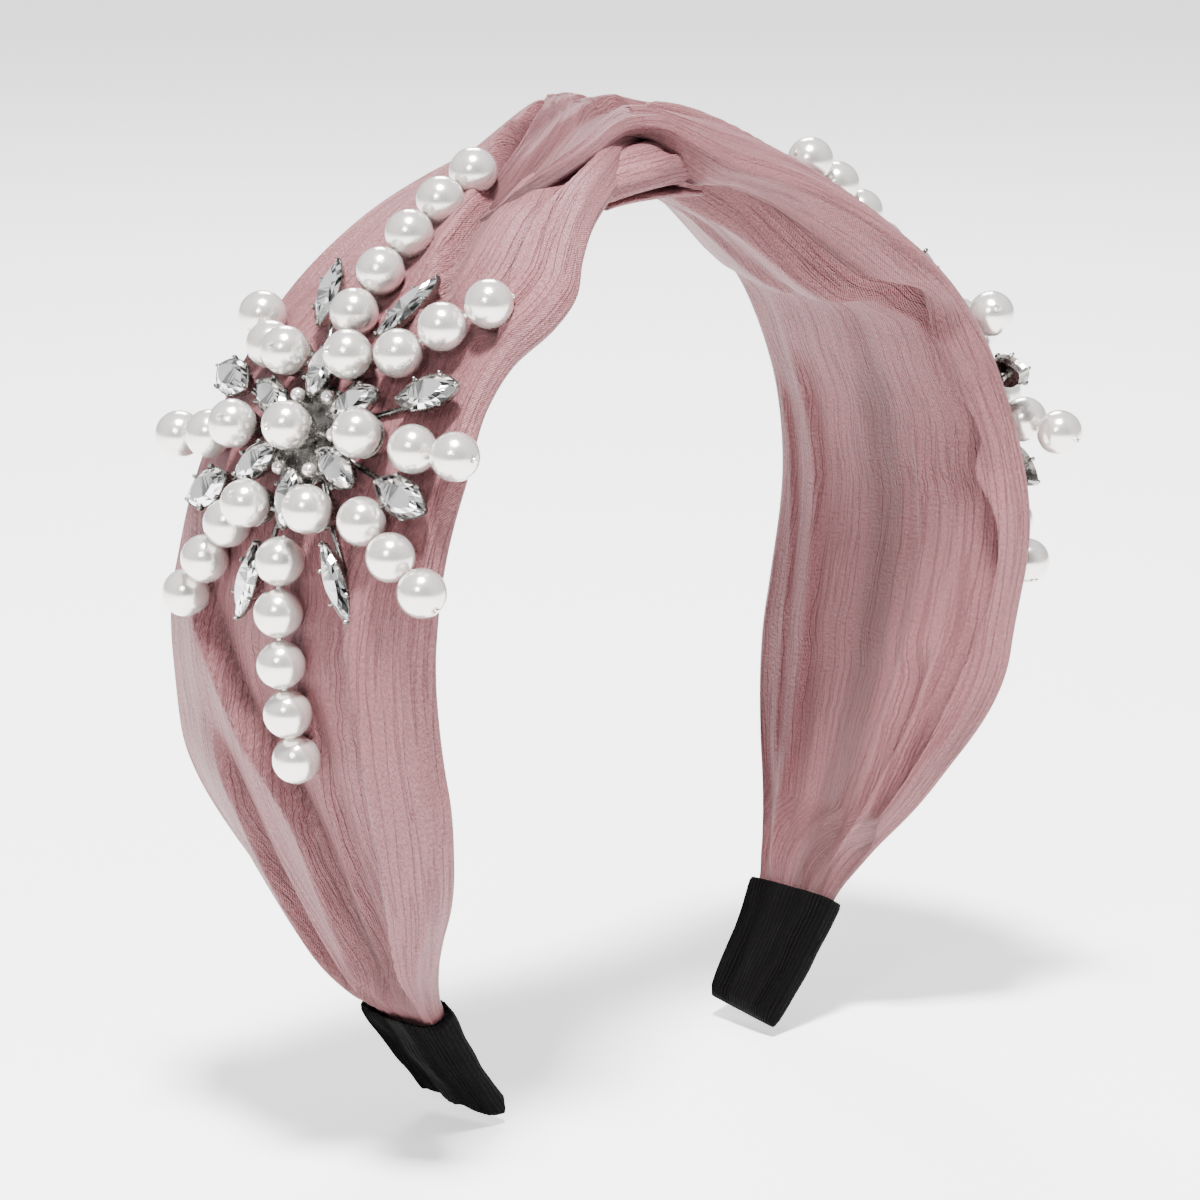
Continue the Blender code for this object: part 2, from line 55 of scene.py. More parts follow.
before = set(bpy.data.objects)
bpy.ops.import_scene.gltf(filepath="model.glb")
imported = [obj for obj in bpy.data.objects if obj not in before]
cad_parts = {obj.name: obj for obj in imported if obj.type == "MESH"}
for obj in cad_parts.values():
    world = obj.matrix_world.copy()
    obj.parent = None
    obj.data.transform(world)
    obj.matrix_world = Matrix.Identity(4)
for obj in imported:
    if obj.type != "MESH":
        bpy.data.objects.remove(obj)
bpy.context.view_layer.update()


class Side(Enum):
    """The two arms of the hoop, with the way along the hoop that each one lies."""

    LEFT = -1
    RIGHT = 1

    @property
    def word(self) -> str:
        """Name of the side in lower case."""
        return self.name.lower()

    @property
    def arm(self) -> str:
        """Body that the side's arm is."""
        return f"{self.word}_arm"


class Cut(Enum):
    """Outlines of the pointed stones: length, width, distance from the brooch's middle and lift."""

    PETAL = (0.0102, 0.0054, 0.0108, 0.0042)
    BROAD = (0.0114, 0.0060, 0.0242, 0.0034)
    SLIM = (0.0140, 0.0042, 0.0262, 0.0034)


def smoothstep(value: Array | float) -> Array:
    """Ease from 0 to 1 with level ends."""
    value = np.clip(value, 0.0, 1.0)
    return value * value * (3.0 - 2.0 * value)


def mix(low: Array | float, high: Array | float, share: Array | float) -> Array:
    """The value that lies the given share of the way from low to high."""
    return low + (high - low) * share


def ease_through(at: Array, stations: Iterable[tuple[float, float]]) -> Array:
    """Smooth run through given stations.

    Args:
        at: Where the run is read.
        stations: Places and the values there, with places rising.

    Returns:
        The value at each place, held level outside the stations.
    """
    places, values = (np.array(row, float) for row in zip(*stations))
    slopes = np.gradient(values, places)
    at = np.clip(at, places[0], places[-1])
    index = np.clip(np.searchsorted(places, at) - 1, 0, len(places) - 2)
    span = places[index + 1] - places[index]
    t = (at - places[index]) / span
    first = values[index] * (1 + 2 * t) * (1 - t) ** 2 + slopes[index] * span * t * (1 - t) ** 2
    second = values[index + 1] * t * t * (3 - 2 * t) + slopes[index + 1] * span * t * t * (t - 1)
    return first + second


def cloud(x: Array, y: Array, seed: float) -> Array:
    """Soft noise between -1 and 1 at points of a plane."""
    return np.array([noise.noise(Vector((a, b, seed))) for a, b in zip(x, y)])


@dataclass(frozen=True)
class Hoop:
    """Springy hoop: one arc over the head and a flatter one down each leg."""

    crown_radius: float = 0.069
    crown_angle: float = math.radians(97.0)
    leg_radius: float = 0.150
    leg_angle: float = math.radians(33.5)
    crown_height: float = 0.0059
    sleeve_length: float = 0.0240

    @property
    def half_length(self) -> float:
        """Length of the centreline from the crown to a tip."""
        return self.crown_radius * self.crown_angle + self.leg_radius * self.leg_angle

    @property
    def sleeve_from(self) -> float:
        """Distance from the crown at which the end sleeve starts."""
        return self.half_length - self.sleeve_length

    def turn(self, along: Array) -> Array:
        """Angle that the centreline has turned through, from level at the crown."""
        over = np.maximum(along - self.crown_radius * self.crown_angle, 0.0)
        return np.minimum(along / self.crown_radius, self.crown_angle) + over / self.leg_radius

    def place(self, along: Array, across: Array, out: Array) -> Array:
        """World points of places on the hoop.

        Args:
            along: Distance from the crown, negative on the -X side.
            across: Distance to the back.
            out: Height outwards from the middle of the core.

        Returns:
            One row of x, y, z for each place.
        """
        along, across, out = np.broadcast_arrays(along, across, out)
        run = np.abs(along)
        turn = self.turn(run)
        first = np.minimum(turn, self.crown_angle)
        x = self.crown_radius * np.sin(first) + self.leg_radius * (np.sin(turn) - np.sin(first))
        z = self.crown_radius * (np.cos(first) - 1) + self.leg_radius * (np.cos(turn) - np.cos(first))
        x = x + out * np.sin(turn)
        z = z + out * np.cos(turn) + self.crown_height
        return np.stack([np.where(along < 0, -x, x), across, z], axis=-1)

    def outward(self, along: float) -> Vector:
        """Unit vector off the hoop at a distance from the crown."""
        turn = float(self.turn(np.array(abs(along))))
        return Vector((math.copysign(math.sin(turn), along), 0.0, math.cos(turn)))


HOOP = Hoop()


@dataclass(frozen=True)
class Cover:
    """Lens-shaped section of the fabric round the core, as wide as the flat lining allows."""

    front_at_crown: float = 0.0185
    front_at_side: float = 0.0320
    back_at_crown: float = 0.0170
    back_at_side: float = 0.0275
    half_at_sleeve: float = 0.0092
    full_width_from: float = 0.080
    full_width_to: float = 0.130
    outside: float = 0.0048
    inside: float = 0.0032
    edge: float = 0.0016

    def edges(self, along: Array) -> tuple[Array, Array]:
        """Front and back edge of the fabric across the hoop.

        Args:
            along: Distance from the crown.

        Returns:
            The two edges, the front one negative.
        """
        rise = smoothstep(np.abs(along) / self.full_width_from)
        fall = smoothstep((HOOP.sleeve_from - np.abs(along)) / (HOOP.sleeve_from - self.full_width_to))
        front = mix(self.half_at_sleeve, mix(self.front_at_crown, self.front_at_side, rise), fall)
        back = mix(self.half_at_sleeve, mix(self.back_at_crown, self.back_at_side, rise), fall)
        return -front, back

    def height(self, along: Array, across: Array, middle: float) -> Array:
        """Height of the fabric off the core, tallest over the core.

        Args:
            along: Distance from the crown.
            across: Distance to the back.
            middle: Height over the core.

        Returns:
            The height at each place.
        """
        front, back = self.edges(along)
        share = 2.0 * (np.clip(across, front, back) - front) / (back - front) - 1.0
        return self.edge + (middle - self.edge) * (1.0 - share * share)


COVER = Cover()


class Bench:
    """The few hand tools that every piece is made with."""

    @staticmethod
    def clear_selection() -> None:
        """Leave edit mode and deselect everything."""
        if bpy.context.mode != "OBJECT":
            bpy.ops.object.mode_set(mode="OBJECT")
        bpy.ops.object.select_all(action="DESELECT")

    @staticmethod
    def take(obj: bpy.types.Object) -> bpy.types.Object:
        """Make one object the only selected and the active one.

        Args:
            obj: The object.

        Returns:
            The same object.
        """
        Bench.clear_selection()
        obj.select_set(True)
        bpy.context.view_layer.objects.active = obj
        return obj

    @staticmethod
    def named(name: str) -> bpy.types.Object:
        """Name the object that an operator has just added.

        Args:
            name: The object's new name.

        Returns:
            The object, selected alone.
        """
        obj = bpy.context.active_object
        obj.name = name
        obj.data.name = name
        return Bench.take(obj)

    @staticmethod
    def pick_faces(obj: bpy.types.Object, wanted: Callable[[Vector, Vector], bool]) -> None:
        """Select faces, and stay in edit mode.

        Args:
            obj: The object, which is active.
            wanted: Says from a face's middle and normal whether it is picked.
        """
        bpy.ops.object.mode_set(mode="EDIT")
        bpy.ops.mesh.select_mode(type="FACE")
        bpy.ops.mesh.select_all(action="DESELECT")
        shell = bmesh.from_edit_mesh(obj.data)
        for face in shell.faces:
            face.select_set(wanted(face.calc_center_median(), face.normal))
        bmesh.update_edit_mesh(obj.data)

    @staticmethod
    def close(obj: bpy.types.Object) -> None:
        """Weld a shell's seams, fill its open ends and turn its faces outwards.

        Args:
            obj: The shell.
        """
        Bench.take(obj)
        bpy.ops.object.mode_set(mode="EDIT")
        bpy.ops.mesh.select_mode(type="VERT")
        bpy.ops.mesh.select_all(action="SELECT")
        bpy.ops.mesh.remove_doubles(threshold=SAME_PLACE)
        bpy.ops.mesh.fill_holes(sides=0)
        bpy.ops.mesh.select_all(action="SELECT")
        bpy.ops.mesh.normals_make_consistent(inside=False)
        bpy.ops.object.mode_set(mode="OBJECT")

    @staticmethod
    def copy(obj: bpy.types.Object, place: Matrix) -> bpy.types.Object:
        """Copy a piece with its own mesh.

        Args:
            obj: The pattern piece.
            place: Where the copy's mesh is laid.

        Returns:
            The copy.
        """
        twin = obj.copy()
        twin.data = obj.data.copy()
        twin.data.transform(place)
        bpy.context.scene.collection.objects.link(twin)
        return twin

    @staticmethod
    def join(name: str, parts: list[bpy.types.Object]) -> bpy.types.Object:
        """Join pieces of one finish into one object.

        Args:
            name: Name of the joined object.
            parts: The pieces.

        Returns:
            The joined object.
        """
        Bench.clear_selection()
        for part in parts:
            part.select_set(True)
        bpy.context.view_layer.objects.active = parts[0]
        bpy.ops.object.join()
        return Bench.named(name)

    @staticmethod
    def smooth(obj: bpy.types.Object, angle: float = 180.0) -> None:
        """Shade smooth, with edges sharper than the angle kept."""
        Bench.take(obj)
        bpy.ops.object.shade_smooth_by_angle(angle=math.radians(angle))

    @staticmethod
    def discard(obj: bpy.types.Object) -> None:
        """Remove a pattern piece once its copies are made."""
        bpy.data.objects.remove(obj, do_unlink=True)

    @staticmethod
    def cloth(name: str, columns: int, rows: int, shape: Shape) -> bpy.types.Object:
        """Tube of cloth: a flat grid rolled up, shaped, and sewn along its edge.

        Args:
            name: Name of the piece.
            columns: Divisions round the tube.
            rows: Divisions along it.
            shape: Turns shares round and along into points, girth of the cloth, lengths, and how much the
                core seen through the cloth and painted shade at the fold feet darken them.

        Returns:
            The closed piece, with its thread directions in its UV map, in millimetres.
        """
        Bench.clear_selection()
        bpy.ops.mesh.primitive_grid_add(x_subdivisions=columns, y_subdivisions=rows, size=1.0)
        obj = Bench.named(name)
        mesh = obj.data
        flat = np.empty(len(mesh.vertices) * 3)
        mesh.vertices.foreach_get("co", flat)
        flat = flat.reshape(-1, 3) + 0.5
        points, girth, length, shade = shape(flat[:, 0], flat[:, 1])
        mesh.vertices.foreach_set("co", points.ravel())
        rings = points.reshape(rows + 1, columns + 1, 3)
        steps = np.linalg.norm(np.diff(rings, axis=1), axis=2)
        reach = np.concatenate([np.zeros((rows + 1, 1)), np.cumsum(steps, axis=1)], axis=1)
        width = (reach / np.maximum(reach[:, -1:], SAME_PLACE / MILLIMETRES)).ravel() * girth
        corner = np.empty(len(mesh.loops), np.int32)
        mesh.loops.foreach_get("vertex_index", corner)
        threads = np.stack([width[corner], length[corner]], axis=-1) * MILLIMETRES
        mesh.uv_layers[0].name = "threads"
        mesh.uv_layers[0].data.foreach_set("uv", threads.ravel().astype(np.float32))
        # Darkening stored per point: the core seen through the cloth, and painted shade at the fold feet.
        layer = mesh.attributes.new("core_shade", "FLOAT", "POINT")
        layer.data.foreach_set("value", shade.astype(np.float32))
        mesh.update()
        Bench.close(obj)
        Bench.smooth(obj)
        return obj


class Graph:
    """Short way to wire up one node material."""

    def __init__(self, name: str) -> None:
        """Start a material with its Principled shader.

        Args:
            name: Name of the material.
        """
        self.material = bpy.data.materials.new(name)
        self.material.use_nodes = True
        self.tree = self.material.node_tree
        self.shader = self.tree.nodes["Principled BSDF"]

    def set(self, **values: float | tuple[float, ...]) -> None:
        """Set plain values on the shader's own sockets, with _ for a space in a name."""
        for word, value in values.items():
            self.shader.inputs[word.replace("_", " ")].default_value = value

    def node(self, kind: str, inputs: dict[str, object] | None = None, **settings: object) -> bpy.types.Node:
        """Add a node.

        Args:
            kind: Blender's name of the node type.
            inputs: Values or other sockets for its inputs.
            **settings: Properties of the node itself.

        Returns:
            The new node.
        """
        made = self.tree.nodes.new(kind)
        for word, value in settings.items():
            setattr(made, word, value)
        for key, value in (inputs or {}).items():
            socket = made.inputs[int(key)] if key.isdigit() else made.inputs[key]
            if isinstance(value, Socket):
                self.tree.links.new(value, socket)
            else:
                socket.default_value = value
        return made

    def maths(self, operation: str, *values: object) -> Socket:
        """Result of one sum on numbers or sockets."""
        inputs = {str(number): value for number, value in enumerate(values)}
        return self.node("ShaderNodeMath", inputs, operation=operation).outputs[0]

    def stretched(self, source: Socket, scale: tuple[float, float, float]) -> Socket:
        """Coordinates scaled by a different amount each way."""
        return self.node("ShaderNodeMapping", {"Vector": source, "Scale": scale}).outputs[0]

    def noise(self, source: Socket, scale: float, detail: float = 2.0) -> Socket:
        """Noise between 0 and 1."""
        inputs = {"Vector": source, "Scale": scale, "Detail": detail}
        return self.node("ShaderNodeTexNoise", inputs).outputs["Fac"]

    def threads(self) -> Socket:
        """Place on the cloth, round and along, in millimetres."""
        return self.node("ShaderNodeUVMap", uv_map="threads").outputs[0]

    def place(self) -> Socket:
        """Place on the object, in metres."""
        return self.node("ShaderNodeTexCoord").outputs["Object"]

    def stored(self, word: str) -> Socket:
        """Value of an attribute stored on the mesh."""
        return self.node("ShaderNodeAttribute", attribute_name=word).outputs["Fac"]

    def total(self, *rows: tuple[Socket, float]) -> Socket:
        """Sum of sockets.

        Args:
            *rows: Each socket with its weight.

        Returns:
            The weighted sum.
        """
        result = self.maths("MULTIPLY", *rows[0])
        for source, weight in rows[1:]:
            result = self.maths("MULTIPLY_ADD", source, weight, result)
        return result

    def roughness(self, source: Socket, low: float, high: float, **limits: float) -> None:
        """Set the shader's roughness by a pattern.

        Args:
            source: The pattern.
            low: Roughness where the pattern is 0.
            high: Roughness where the pattern is 1.
            **limits: From_Min and From_Max, where the pattern's ends aren't 0 and 1.
        """
        inputs = {"Value": source, "To Min": low, "To Max": high}
        inputs.update({word.replace("_", " "): value for word, value in limits.items()})
        self.to("Roughness", self.node("ShaderNodeMapRange", inputs).outputs[0])

    def ramp(self, source: object, stops: list[tuple[float, tuple[float, ...]]]) -> Socket:
        """Colour ramp.

        Args:
            source: Number that is looked up.
            stops: Places on the ramp and their colours, places rising.

        Returns:
            The colour.
        """
        made = self.node("ShaderNodeValToRGB", {"Fac": source})
        ramp = made.color_ramp
        while len(ramp.elements) < len(stops):
            ramp.elements.new(0.5)
        for element, (at, colour) in zip(ramp.elements, stops):
            element.position = at
            element.color = (*colour, 1.0)
        return made.outputs["Color"]

    def blend(self, share: object, low: object, high: object) -> Socket:
        """Colour between two colours.

        Args:
            share: Share of the way to the second one.
            low: The first colour or socket.
            high: The second colour or socket.

        Returns:
            The mixed colour.
        """
        made = self.node("ShaderNodeMix", data_type="RGBA")
        factor, first, second, result = 0, 6, 7, 2
        for place, value in ((factor, share), (first, low), (second, high)):
            if isinstance(value, Socket):
                self.tree.links.new(value, made.inputs[place])
            else:
                made.inputs[place].default_value = value if place == factor else (*value, 1.0)
        return made.outputs[result]

    def bump(self, height: Socket, distance: float, strength: float = 1.0) -> None:
        """Bump the shader's surface.

        Args:
            height: Pattern between 0 and 1.
            distance: How high 1 stands, in metres.
            strength: Share of the bump that is kept.
        """
        inputs = {"Height": height, "Distance": distance, "Strength": strength}
        made = self.node("ShaderNodeBump", inputs)
        self.to("Normal", made.outputs[0])

    def to(self, word: str, source: Socket) -> None:
        """Link a socket to one of the shader's inputs."""
        self.tree.links.new(source, self.shader.inputs[word])


@dataclass(frozen=True)
class SatinFinish:
    """Crinkled dusty-pink satin: fine diagonal twill with slubs and crinkles that run lengthwise."""

    shadow: Colour = (0.105, 0.032, 0.037)
    body: Colour = (0.176, 0.063, 0.070)
    sheen: Colour = (0.310, 0.136, 0.144)
    # Dark colour where the core shows through the cloth, also used for the painted shade at the fold feet.
    core: Colour = (0.050, 0.022, 0.021)
    twill_pitch: float = 0.42
    twill_lean: float = 0.8
    slub_scale: tuple[float, float, float] = (1 / 0.9, 0.035, 1.0)
    crinkle_scale: tuple[float, float, float] = (0.34, 0.022, 1.0)
    patch_scale: tuple[float, float, float] = (0.09, 0.03, 1.0)
    grain_scale: tuple[float, float, float] = (2.6, 1.6, 1.0)
    vein_scale: tuple[float, float, float] = (0.62, 0.02, 1.0)
    vein_width: float = 0.035
    relief: float = 0.0012

    def material(self) -> bpy.types.Material:
        """Build the node material.

        Returns:
            The material.
        """
        graph = Graph("dusty_pink_crinkle_satin")
        graph.set(Sheen_Weight=0.05, Sheen_Roughness=0.35, IOR=1.45)
        graph.set(Sheen_Tint=(1.0, 0.93, 0.93, 1.0), Specular_IOR_Level=0.38)
        threads = graph.threads()
        slub = graph.noise(graph.stretched(threads, self.slub_scale), 1.0, 3.0)
        crinkle = graph.noise(graph.stretched(threads, self.crinkle_scale), 1.0, 4.0)
        patch = graph.noise(graph.stretched(threads, self.patch_scale), 1.0, 2.0)
        grain = graph.noise(graph.stretched(threads, self.grain_scale), 1.0, 2.0)
        split = graph.node("ShaderNodeSeparateXYZ", {"0": threads})
        lean = graph.maths("MULTIPLY_ADD", split.outputs[1], self.twill_lean, split.outputs[0])
        worn = graph.total((lean, math.tau / self.twill_pitch), (grain, 0.9))
        twill = graph.maths("MULTIPLY_ADD", graph.maths("SINE", worn), 0.5, 0.5)
        vein = graph.noise(graph.stretched(threads, self.vein_scale), 1.0, 2.0)
        vein = graph.maths("ABSOLUTE", graph.maths("SUBTRACT", vein, 0.5))
        vein = graph.node("ShaderNodeMapRange", {"Value": vein, "From Max": self.vein_width}).outputs[0]
        tone = graph.total((crinkle, 0.10), (slub, 0.18), (patch, 0.14), (twill, 0.12), (grain, 0.40),
        (vein, 0.11))
        # The ramp paints shadow and sheen into the base colour, following the crinkle, twill and grain, on
        # top of the cloth's own uneven tone.
        colour = graph.ramp(tone, [(0.36, self.shadow), (0.55, self.body), (0.78, self.sheen)])
        # Blend to the core colour where the core shows through and where shade is painted at the fold feet.
        graph.to("Base Color", graph.blend(graph.stored("core_shade"), colour, self.core))
        graph.roughness(tone, 0.58, 0.38, From_Min=0.40, From_Max=0.80)
        height = graph.total((grain, 0.34), (twill, 0.06), (slub, 0.16), (crinkle, 0.38), (vein, 0.15))
        graph.bump(height, self.relief)
        return graph.material


@dataclass(frozen=True)
class KnitFinish:
    """Black ribbed knit with a slightly dusty nap."""

    low: Colour = (0.0006, 0.0005, 0.0005)
    high: Colour = (0.0024, 0.0020, 0.0020)
    stitch_pitch: float = 0.7

    def material(self) -> bpy.types.Material:
        """Build the node material.

        Returns:
            The material.
        """
        graph = Graph("black_ribbed_knit")
        graph.set(Sheen_Weight=0.008, Sheen_Roughness=0.5, Specular_IOR_Level=0.05)
        threads = graph.threads()
        split = graph.node("ShaderNodeSeparateXYZ", {"0": threads})
        fuzz = graph.noise(graph.stretched(threads, (2.2, 1.1, 1.0)), 1.0, 4.0)
        row = graph.maths("SINE", graph.maths("MULTIPLY", split.outputs[0], math.tau / self.stitch_pitch))
        stitch = graph.maths("MULTIPLY_ADD", row, 0.25, fuzz)
        graph.to("Base Color", graph.ramp(stitch, [(0.2, self.low), (0.85, self.high)]))
        graph.roughness(fuzz, 0.75, 0.95)
        graph.bump(stitch, 0.0002)
        return graph.material


@dataclass(frozen=True)
class PearlFinish:
    """Glossy imitation pearl: a milky, half-metallic body under a hard clear coat."""

    body: Colour = (0.80, 0.775, 0.73)
    blush: Colour = (0.86, 0.80, 0.76)

    def material(self) -> bpy.types.Material:
        """Build the node material.

        Returns:
            The material.
        """
        graph = Graph("glossy_pearl")
        graph.set(Coat_Weight=1.0, Coat_Roughness=0.05, Coat_IOR=1.55, IOR=1.7, Metallic=0.72)
        place = graph.place()
        lustre = graph.noise(place, 420.0, 2.0)
        skin = graph.noise(place, 5200.0, 2.0)
        graph.to("Base Color", graph.blend(lustre, self.body, self.blush))
        graph.roughness(lustre, 0.15, 0.24)
        graph.bump(skin, 0.00002)
        return graph.material


@dataclass(frozen=True)
class CrystalFinish:
    """Clear cut glass, metallic under a clear coat, with a painted reflection brightness on each of its
    facets, from dark to bright.
    """

    # Painted reflection colours of the facets, from dark through grey to bright.
    dark: Colour = (0.020, 0.020, 0.021)
    grey: Colour = (0.42, 0.415, 0.41)
    bright: Colour = (1.0, 1.0, 1.0)

    def material(self) -> bpy.types.Material:
        """Build the node material.

        Returns:
            The material.
        """
        graph = Graph("silvered_crystal")
        graph.set(Metallic=0.9, Coat_Weight=0.6, Coat_Roughness=0.01, Coat_IOR=1.6)
        facet = graph.stored("facet")
        place = graph.place()
        flaw = graph.noise(place, 900.0, 2.0)
        # Painted reflection brightness of each face, with a little noise from the flaw pattern mixed in.
        mixed = graph.maths("MULTIPLY_ADD", flaw, 0.35, graph.maths("MULTIPLY", facet, 0.8))
        stops = [(0.26, self.dark), (0.48, self.grey), (0.68, self.bright)]
        graph.to("Base Color", graph.ramp(mixed, stops))
        graph.roughness(flaw, 0.03, 0.16)
        graph.bump(flaw, 0.00005)
        return graph.material


@dataclass(frozen=True)
class SilverFinish:
    """Bright plated metal, darker in its scratches and pits."""

    low: Colour = (0.07, 0.065, 0.06)
    high: Colour = (0.38, 0.37, 0.35)

    def material(self) -> bpy.types.Material:
        """Build the node material.

        Returns:
            The material.
        """
        graph = Graph("silver_plate")
        graph.set(Metallic=1.0)
        place = graph.place()
        tarnish = graph.noise(place, 380.0, 4.0)
        scratch = graph.noise(graph.stretched(place, (900.0, 5200.0, 2400.0)), 1.0, 3.0)
        graph.to("Base Color", graph.ramp(tarnish, [(0.25, self.low), (0.65, self.high)]))
        graph.roughness(scratch, 0.12, 0.38)
        graph.bump(scratch, 0.00004)
        return graph.material


@dataclass(frozen=True)
class WebbingFinish:
    """Black woven cover of the springy core."""

    low: Colour = (0.006, 0.005, 0.005)
    high: Colour = (0.035, 0.030, 0.030)

    def material(self) -> bpy.types.Material:
        """Build the node material.

        Returns:
            The material.
        """
        graph = Graph("black_webbing")
        graph.set(Specular_IOR_Level=0.3)
        place = graph.place()
        weave = graph.noise(graph.stretched(place, (2600.0, 900.0, 2600.0)), 1.0, 3.0)
        graph.to("Base Color", graph.ramp(weave, [(0.3, self.low), (0.7, self.high)]))
        graph.roughness(weave, 0.7, 0.95)
        graph.bump(weave, 0.0002)
        return graph.material


class Finishes:
    """The finishes of the headband, each made once."""

    def __init__(self) -> None:
        """Make every material."""
        self.satin = SatinFinish().material()
        self.knit = KnitFinish().material()
        self.pearl = PearlFinish().material()
        self.crystal = CrystalFinish().material()
        self.silver = SilverFinish().material()
        self.webbing = WebbingFinish().material()

    @staticmethod
    def dress(obj: bpy.types.Object, material: bpy.types.Material, slot: str) -> None:
        """Give a piece its only material.

        Args:
            obj: The piece.
            material: Its material.
            slot: Not used.
        """
        obj.data.materials.clear()
        obj.data.materials.append(material)


@dataclass(frozen=True)
class Fold:
    """One fold that runs along the hoop: a raised lip on one side of a line, a dip on the other, and painted
    shade at its foot.
    """

    line: tuple[tuple[float, float], ...]
    raised: int
    height: float
    spread: float
    dip: float = 0.0006
    lip: float = 0.0016
    fade: float = 0.012
    # foot_place, foot_above, foot_below and full_dark place and size the painted shade at the fold's foot.
    foot_place: float = 0.4
    foot_above: float = 0.0004
    foot_below: float = 0.0020
    full_dark: float = 0.006
    look_ahead: float = 0.0005

    def reach(self, along: Array, across: Array) -> tuple[Array, Array]:
        """Where places lie against the fold.

        Args:
            along: Distance along the hoop, positive.
            across: Distance across it.

        Returns:
            Distance from the line, positive on the raised side, and the fold's strength.
        """
        places = np.array(self.line) / MILLIMETRES
        middle = ease_through(along, [tuple(place) for place in places])
        ahead = ease_through(along + self.look_ahead, [tuple(place) for place in places])
        slope = (ahead - middle) / self.look_ahead
        away = (across - middle) * self.raised / np.hypot(1.0, slope)
        start, end = places[0, 0], places[-1, 0]
        strength = smoothstep((along - start) / self.fade) * smoothstep((end - along) / self.fade)
        return away, strength

    def lift(self, along: Array, across: Array) -> Array:
        """How far the fold moves the cloth off the hoop.

        Args:
            along: Distance along the hoop, positive.
            across: Distance across it.

        Returns:
            The change of height at each place.
        """
        away, strength = self.reach(along, across)
        rise = smoothstep(away / self.lip + 0.5)
        top = self.height * np.exp(-((np.maximum(away, 0.0) / self.spread) ** 1.4))
        bottom = -self.dip * np.exp(np.minimum(away, 0.0) / (0.6 * self.spread))
        return strength * mix(bottom, top, rise)

    def crease(self, along: Array, across: Array) -> Array:
        """Painted shade at the fold's foot.

        Args:
            along: Distance along the hoop, positive.
            across: Distance across it.

        Returns:
            The painted shade at each place, from 0 to 1.
        """
        away, strength = self.reach(along, across)
        foot = -self.foot_place * self.lip
        width = np.where(away > foot, self.foot_above, self.foot_below)
        depth = min(1.0, (self.dip + self.height) / self.full_dark)
        return strength * depth * np.exp(-(((away - foot) / width) ** 2))


